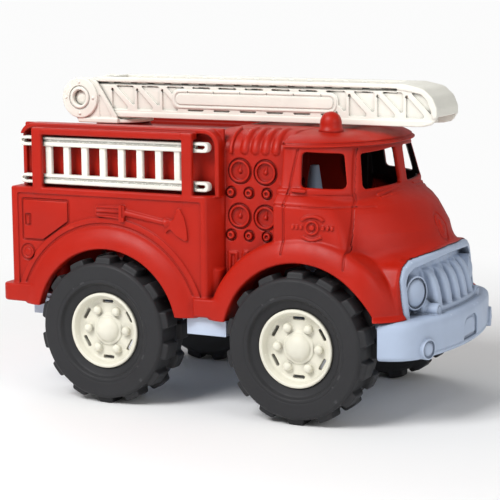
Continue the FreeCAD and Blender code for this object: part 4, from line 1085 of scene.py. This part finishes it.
def turntable_volume():
    vol = Volume((-125.0, 0, 150.0), (-71.6, 22.0, 191.2), 0.30)
    vol.add(rod("z", (TURN_X, 0), 19.0, 161.98, 164.4, 0.7))
    vol.add(rod("z", (TURN_X, 0), 9.95, 150.7, 163))
    vol.cut(rod("z", (TURN_X, 0), 1.4, 148, 160))
    vol.add(block((-113, -20, 162.0), (-84.5, 20.3, 165.0), 0.7), 0.6)
    # upright cheek with a sunk triangle, and the pin's eye
    cheek = rounded([(-113.0, 162.1), (-84.6, 162.1), (-85.6, 166.4), (-99.2, 187.4),
                     (-104.0, 189.6), (-111.0, 189.7), (-118.0, 171.5)],
                    [1, 0.8, 1.2, 2.4, 3, 6, 6])
    vol.add(prism("y", cheek, 17.5, 19.5, 0.5), 0.5)
    vol.cut(block((-130, -20, 165.2), (-60, 17.45, 195)), 0.4)
    vol.add(rod("y", PIVOT, 12.7, 17.5, 21.1, 0.9))
    triangle = rounded([(-97.5, 165.5), (-88.6, 165.5), (-98.4, 181.5)], 0.8)
    vol.engrave(less(prism("y", triangle, 17, 22), rod("y", PIVOT, 13.4, 10, 30)), 0.6, 0.2)
    vol.add(ring("y", PIVOT, 4.9, 6.6, 20.0, 21.6, 0.6), 0.3)
    vol.cut(ring("y", PIVOT, 6.9, 7.5, 20.5, 22), 0.2)
    vol.cut(rod("y", PIVOT, 4.64, 10, 30), 0.2)
    for k in range(4):
        angle = math.radians(90 * k)
        vol.add(ball((PIVOT_X + 9.8 * math.sin(angle), 20.95,
                      PIVOT_Z + 9.8 * math.cos(angle)), 0.95), 0.3)
    return vol


def side_ladder_volume():
    vol = Volume((-125.2, 62.4, 127.8), (5.4, 69.4, 158.3), 0.30)
    for low, high in ((128.8, 134.6), (151.5, 157.3)):
        vol.add(prism("y", rounded(rect(-124.3, low, 4.4, high), 2.8, 7), 63.2, 68.6, 0.8))
        # a groove along both faces, a slot through each end
        middle = (low + high) / 2 + 0.5
        groove = rounded(rect(-118.4 - 4.4, middle - 0.75, -1.6 + 4.0, middle + 0.75), 0.7)
        vol.cut(prism("y", groove, 67.5, 72, 0.1), 0.35)
        vol.cut(prism("y", groove, 60, 64.3, 0.1), 0.35)
        for start, end in ((-121.6, -115.6), (-4.3, 1.7)):
            slot = rounded(rect(start, low + 1.9, end, high - 1.9), 0.95)
            vol.cut(prism("y", slot, 60, 72), 0.4)
    for k in range(8):
        x = -104.8 + 12.6 * k
        vol.add(block((x - 2.1, 64.3, 132.0), (x + 2.1, 67.5, 154.0), 0.9), 0.7)
    return vol


def beacon_volume():
    vol = Volume((56.8, 24.0, 157.4), (73.2, 40.0, 175.4), 0.28)
    profile = [(0.0, 158.4), (6.9, 158.4), (7.3, 163.2), (7.2, 164.2), (6.75, 164.9),
               (6.4, 165.9), (6.25, 167.0)]
    profile += [(6.25 * math.cos(t), 168.2 + 6.3 * math.sin(t))
                for t in np.linspace(0.05, math.pi / 2, 14)]
    vol.add(turned("z", (65, 32), profile))
    return vol


def pin_volume():
    vol = Volume((PIVOT_X - 5.4, 0, PIVOT_Z - 5.4), (PIVOT_X + 5.4, 19.8, PIVOT_Z + 5.4), 0.25)
    vol.add(rod("y", PIVOT, 4.58, -30, 18.4, 0.5))
    vol.add(ball((PIVOT_X, 17.2, PIVOT_Z), 4.2, 0.42), 0.4)
    return vol


# ----------------------------------------------------------------------
# materials
# ----------------------------------------------------------------------
def linear(colour):
    """Linear RGBA from an sRGB colour in 0-255."""
    parts = (value / 255.0 for value in colour)
    return tuple(p / 12.92 if p <= 0.04045 else ((p + 0.055) / 1.055) ** 2.4
                 for p in parts) + (1.0,)


def add_node(tree, kind, inputs, **settings):
    """A shader node; inputs gives each socket a value, or another socket to link from."""
    made = tree.nodes.new("ShaderNode" + kind)
    for key, value in settings.items():
        setattr(made, key, value)
    for socket, value in inputs.items():
        if isinstance(value, bpy.types.NodeSocket):
            tree.links.new(value, made.inputs[socket])
        else:
            made.inputs[socket].default_value = value
    return made


def add_range(tree, value, from_min, from_max, to_min, to_max, **settings):
    return add_node(tree, "MapRange", {"Value": value, "From Min": from_min, "From Max": from_max,
                                       "To Min": to_min, "To Max": to_max}, **settings).outputs[0]


def add_mix(tree, factor, a, b):
    # 6, 7 and output 2 are the colour sockets
    return add_node(tree, "Mix", {0: factor, 6: a, 7: b}, data_type="RGBA").outputs[2]


def cab_shade(tree, position, geometry):
    """1 on faces turned inwards near the cab's middle, the unlit inside, and 0 elsewhere."""
    centre = (0.001 * (66 + MIDDLE_X), 0.0, 0.136)
    half_size = (0.056, 0.072, 0.048)
    offset = add_node(tree, "VectorMath", {0: position, 1: centre}, operation="SUBTRACT").outputs[0]
    scaled = add_node(tree, "VectorMath", {0: offset, 1: half_size}, operation="DIVIDE").outputs[0]
    reach = add_node(tree, "VectorMath", {0: scaled}, operation="LENGTH").outputs["Value"]
    facing = add_node(tree, "VectorMath", {0: offset, 1: geometry.outputs["Normal"]},
                      operation="DOT_PRODUCT").outputs["Value"]
    inward = add_range(tree, facing, -0.003, -0.011, 0.0, 0.99)
    near = add_range(tree, reach, 0.96, 1.0, 1.0, 0.0)
    return add_node(tree, "Math", {0: inward, 1: near}, operation="MULTIPLY").outputs[0]


def plastic(name, base, crease_shade, pale, rough, grain, bump, crease_shade_strength, reach, metal=0.0,
            stretch=(1, 1, 1), paint_cab_shade=False):
    """Moulded surface, with painted shade darkening the creases and a painted highlight paling the
    edges.
    base is its colour, deep the painted shade's colour in the creases and pale the painted
    highlight's colour on the edges;
    grain is the fine bump's height and bump its strength; crease is how dark the painted shade goes
    and reach how wide, in metres."""
    material = bpy.data.materials.new(name)
    material.use_nodes = True
    tree = material.node_tree
    tree.nodes.clear()
    position = add_node(tree, "TexCoord", {}).outputs["Object"]
    mapped = add_node(tree, "Mapping", {"Scale": stretch, "Vector": position}).outputs[0]

    def noise(scale, detail, roughness=0.55):
        return add_node(tree, "TexNoise", {"Scale": scale, "Detail": detail,
                                           "Roughness": roughness, "Vector": mapped}).outputs[0]
    mottle, fine = noise(38, 3), noise(900, 4, 0.6)
    darker = tuple(part * 0.94 for part in linear(base)[:3]) + (1,)
    lighter = tuple(min(part * 1.05, 1) for part in linear(base)[:3]) + (1,)
    colour = add_mix(tree, add_range(tree, mottle, 0.3, 0.7, 0.0, 1.0), darker, lighter)
    # painted shade: the colour darkens in creases and recesses, where ambient occlusion finds shade
    occlusion = add_node(tree, "AmbientOcclusion", {"Distance": reach}, samples=4).outputs["AO"]
    colour = add_mix(tree, add_range(tree, occlusion, 0.25, 0.86, crease_shade_strength, 0.0), colour, linear(crease_shade))
    geometry = add_node(tree, "NewGeometry", {})
    # painted highlight: sharp convex edges turn paler, as if catching the light
    edge = add_range(tree, geometry.outputs["Pointiness"], 0.53, 0.60, 0.0, 0.55)
    colour = add_mix(tree, edge, colour, linear(pale))
    # painted shade: faces inside the cab go near black, as the unlit inside
    if paint_cab_shade:
        shade = cab_shade(tree, position, geometry)
        colour = add_mix(tree, shade, colour, (0.0015, 0.0015, 0.0015, 1))
    roughness = add_range(tree, noise(120, 4), 0.3, 0.7, rough - 0.05, rough + 0.06)
    grained = add_node(tree, "Bump", {"Strength": bump, "Distance": grain, "Height": fine})
    waved = add_node(tree, "Bump", {"Strength": 0.10, "Distance": 0.0006, "Height": noise(90, 2),
                                    "Normal": grained.outputs[0]})
    shader = add_node(tree, "BsdfPrincipled", {
        "Base Color": colour, "Roughness": roughness, "Metallic": metal,
        "Specular IOR Level": 0.27, "Coat Roughness": 0.25, "Normal": waved.outputs[0]})
    add_node(tree, "OutputMaterial", {"Surface": shader.outputs[0]})
    return material


# each finish: its colour, the colour of its painted shade in creases, and the colour of its painted
# highlight on edges
RED = plastic("red plastic", base=(170, 23, 2), crease_shade=(44, 0, 2), pale=(202, 50, 26), rough=0.46,
              grain=0.00010, bump=0.30, crease_shade_strength=0.9, reach=0.0050, paint_cab_shade=True)
RED_DOME = plastic("red dome plastic", base=(170, 23, 2), crease_shade=(44, 0, 2), pale=(202, 50, 26),
                   rough=0.42, grain=0.00008, bump=0.25, crease_shade_strength=0.9, reach=0.0030)
WHITE = plastic("white plastic", base=(234, 232, 222), crease_shade=(52, 54, 52), pale=(246, 246, 240),
                rough=0.46, grain=0.00008, bump=0.25, crease_shade_strength=0.85, reach=0.0026)
CREAM = plastic("cream plastic", base=(222, 219, 204), crease_shade=(60, 58, 50), pale=(250, 248, 238),
                rough=0.42, grain=0.00008, bump=0.25, crease_shade_strength=0.75, reach=0.0030)
GREY = plastic("pale blue grey plastic", base=(172, 186, 208), crease_shade=(38, 42, 54),
               pale=(212, 222, 238), rough=0.44, grain=0.00010, bump=0.30, crease_shade_strength=0.92,
               reach=0.0046)
TYRE = plastic("black rubbery plastic", base=(43, 43, 45), crease_shade=(4, 4, 5), pale=(78, 78, 80),
               rough=0.58, grain=0.00014, bump=0.45, crease_shade_strength=0.85, reach=0.0060)
STEEL = plastic("brushed steel", base=(176, 178, 182), crease_shade=(60, 60, 64), pale=(214, 216, 220),
                rough=0.30, grain=0.00006, bump=0.35, crease_shade_strength=0.5, reach=0.0020, metal=1.0,
                stretch=(1, 0.08, 1))
FINISH = {"body_red": RED, "ladder_white": WHITE, "hub_cream": CREAM, "fascia_grey": GREY,
          "tyre_black": TYRE, "steel": STEEL}


# ----------------------------------------------------------------------
# pieces on their bodies
# ----------------------------------------------------------------------
def finish_with(piece, material):
    piece.data.materials.clear()
    piece.data.materials.append(material)


def place(piece, body, node, slot, material=None):
    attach(piece, body)
    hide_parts(node)
    finish_with(piece, material or FINISH[slot])


def place_wheels(part, vol, slot, triangles):
    """The same moulding at all four wheels."""
    name = "_" + part + "_wheel"
    first = build("front_left" + name, vol, triangles, shift=(AXLE_X, 0, AXLE_Z))
    to_rear = (-2 * AXLE_X, 0, 0)
    made = {("front", "left"): first,
            ("rear", "left"): copy_of(first, "rear_left" + name, False, to_rear),
            ("front", "right"): copy_of(first, "front_right" + name, True),
            ("rear", "right"): copy_of(first, "rear_right" + name, True, to_rear)}
    for (end, hand), wheel in made.items():
        place(wheel, end + "_wheelset", end + "_" + hand + "_" + part, slot)


place(build("red_body", body_volume(), 196000, mirror=True), "body", "body_shell", "body_red")
place(build("front_moulding", fascia_volume(), 190000, mirror=True),
      "body", "front_fascia", "fascia_grey")

left_beacon = build("left_beacon_dome", beacon_volume(), 40000)
right_beacon = copy_of(left_beacon, "right_beacon_dome", True)
place(left_beacon, "body", "left_beacon", "body_red", RED_DOME)
place(right_beacon, "body", "right_beacon", "body_red", RED_DOME)

place_wheels("tyre", tyre_volume(), "tyre_black", 150000)
place_wheels("hub", hub_volume(), "hub_cream", 120000)

place(build("aerial_ladder_white", ladder_volume(), 190000, mirror=True),
      "ladder", "aerial_ladder", "ladder_white")
place(build("turntable_white", turntable_volume(), 150000, mirror=True),
      "turntable", "turntable", "ladder_white")
place(build("pivot_pin_white", pin_volume(), 20000, mirror=True),
      body_of(frame["nodes"]["ladder_pivot_pin"])[0], "ladder_pivot_pin", "ladder_white")
left_ladder = build("left_side_ladder_white", side_ladder_volume(), 110000)
right_ladder = copy_of(left_ladder, "right_side_ladder_white", True)
place(left_ladder, "left_ladder", "left_side_ladder", "ladder_white")
place(right_ladder, "right_ladder", "right_side_ladder", "ladder_white")

# finish of the frame's own pieces that stay in view, by the first word found in the name
FRAME_FINISH = (("axle_keeper", GREY), ("chassis", GREY), ("screw", STEEL), ("axle", STEEL),
                ("pin", STEEL), ("retainer", WHITE))
for name, piece in frame["nodes"].items():
    if piece.hide_render:
        continue
    material = next((finish for word, finish in FRAME_FINISH if word in name), None)
    if name == "chassis_screws":
        material = STEEL
    if material:
        finish_with(piece, material)
        bevel = piece.modifiers.new("soft edges", "BEVEL")
        bevel.width = 0.0005 if "chassis_tray" in name or "keeper" in name else 0.0002
        bevel.segments = 2
        bevel.limit_method = "ANGLE"
        bevel.angle_limit = math.radians(40)


# ----------------------------------------------------------------------
# studio
# ----------------------------------------------------------------------
scene = bpy.context.scene
scene.view_settings.view_transform = "Standard"


def add_camera():
    """A long lens ahead of the engine on its right, looking slightly down."""
    data = bpy.data.cameras.new("camera")
    camera = bpy.data.objects.new("camera", data)
    scene.collection.objects.link(camera)
    data.lens = 124.53
    data.sensor_width = 36.0
    data.clip_end = 20
    yaw, pitch, roll = math.radians(26.711), math.radians(9.007), math.radians(-0.431)
    forward = Vector((-math.sin(yaw) * math.cos(pitch), math.cos(yaw) * math.cos(pitch),
                      -math.sin(pitch)))
    level_right = forward.cross(Vector((0, 0, 1))).normalized()
    level_up = level_right.cross(forward)
    right = level_right * math.cos(roll) + level_up * math.sin(roll)
    up = -level_right * math.sin(roll) + level_up * math.cos(roll)
    pose = Matrix((right, up, -forward)).transposed().to_4x4()
    pose.translation = Vector((467.86 + MIDDLE_X, -936.96, 251.41)) * 0.001
    camera.matrix_world = pose
    scene.camera = camera


def add_world():
    """White to the camera, dimmer as a light."""
    world = bpy.data.worlds.new("studio")
    scene.world = world
    world.use_nodes = True
    tree = world.node_tree
    background = tree.nodes["Background"]
    background.inputs["Color"].default_value = (1, 1, 1, 1)
    seen = add_node(tree, "LightPath", {}).outputs["Is Camera Ray"]
    strength = add_range(tree, seen, 0.0, 1.0, 0.34, 1.0)
    tree.links.new(strength, background.inputs["Strength"])


def add_area_light(name, place, energy, size):
    """A square lamp aimed at the engine's middle."""
    data = bpy.data.lights.new(name, "AREA")
    data.energy = energy
    data.size = size
    light = bpy.data.objects.new(name, data)
    scene.collection.objects.link(light)
    light.location = place
    aim = Vector((0, 0, 0.08)) - Vector(place)
    light.rotation_euler = aim.to_track_quat("-Z", "Y").to_euler()


def floor_material():
    """Pale floor that fades to the studio's white sweep away from the engine."""
    material = bpy.data.materials.new("pale floor")
    material.use_nodes = True
    tree = material.node_tree
    shader = tree.nodes["Principled BSDF"]
    shader.inputs["Roughness"].default_value = 0.85
    noise = add_node(tree, "TexNoise", {"Scale": 60}).outputs[0]
    tone = add_range(tree, noise, 0.0, 1.0, 0.90, 0.93)
    colour = add_node(tree, "CombineColor", {0: tone, 1: tone, 2: tone})
    tree.links.new(colour.outputs[0], shader.inputs["Base Color"])
    bump = add_node(tree, "Bump", {"Strength": 0.05, "Distance": 0.0005, "Height": noise})
    tree.links.new(bump.outputs[0], shader.inputs["Normal"])
    position = add_node(tree, "NewGeometry", {}).outputs["Position"]
    distance = add_node(tree, "VectorMath", {0: position}, operation="LENGTH").outputs["Value"]
    fade = add_range(tree, distance, 0.22, 0.55, 0.0, 1.0, interpolation_type="SMOOTHSTEP")
    glow = add_node(tree, "Emission", {"Color": (1, 1, 1, 1), "Strength": 0.97})
    # only the camera sees the fade
    seen = add_node(tree, "LightPath", {}).outputs["Is Camera Ray"]
    share = add_node(tree, "Math", {0: fade, 1: seen}, operation="MULTIPLY").outputs[0]
    mix = add_node(tree, "MixShader", {0: share, 1: shader.outputs[0], 2: glow.outputs[0]})
    tree.links.new(mix.outputs[0], tree.nodes["Material Output"].inputs["Surface"])
    return material


add_camera()
add_world()
add_area_light("key", place=(-0.30, -0.95, 1.05), energy=17.0, size=0.6)
add_area_light("fill", place=(1.25, -0.55, 0.6), energy=5.0, size=0.8)
add_area_light("rim", place=(-0.7, 0.8, 0.9), energy=4.0, size=0.8)

bpy.ops.mesh.primitive_plane_add(size=30)
floor = bpy.context.object
floor.name = "floor"
floor.data.materials.append(floor_material())

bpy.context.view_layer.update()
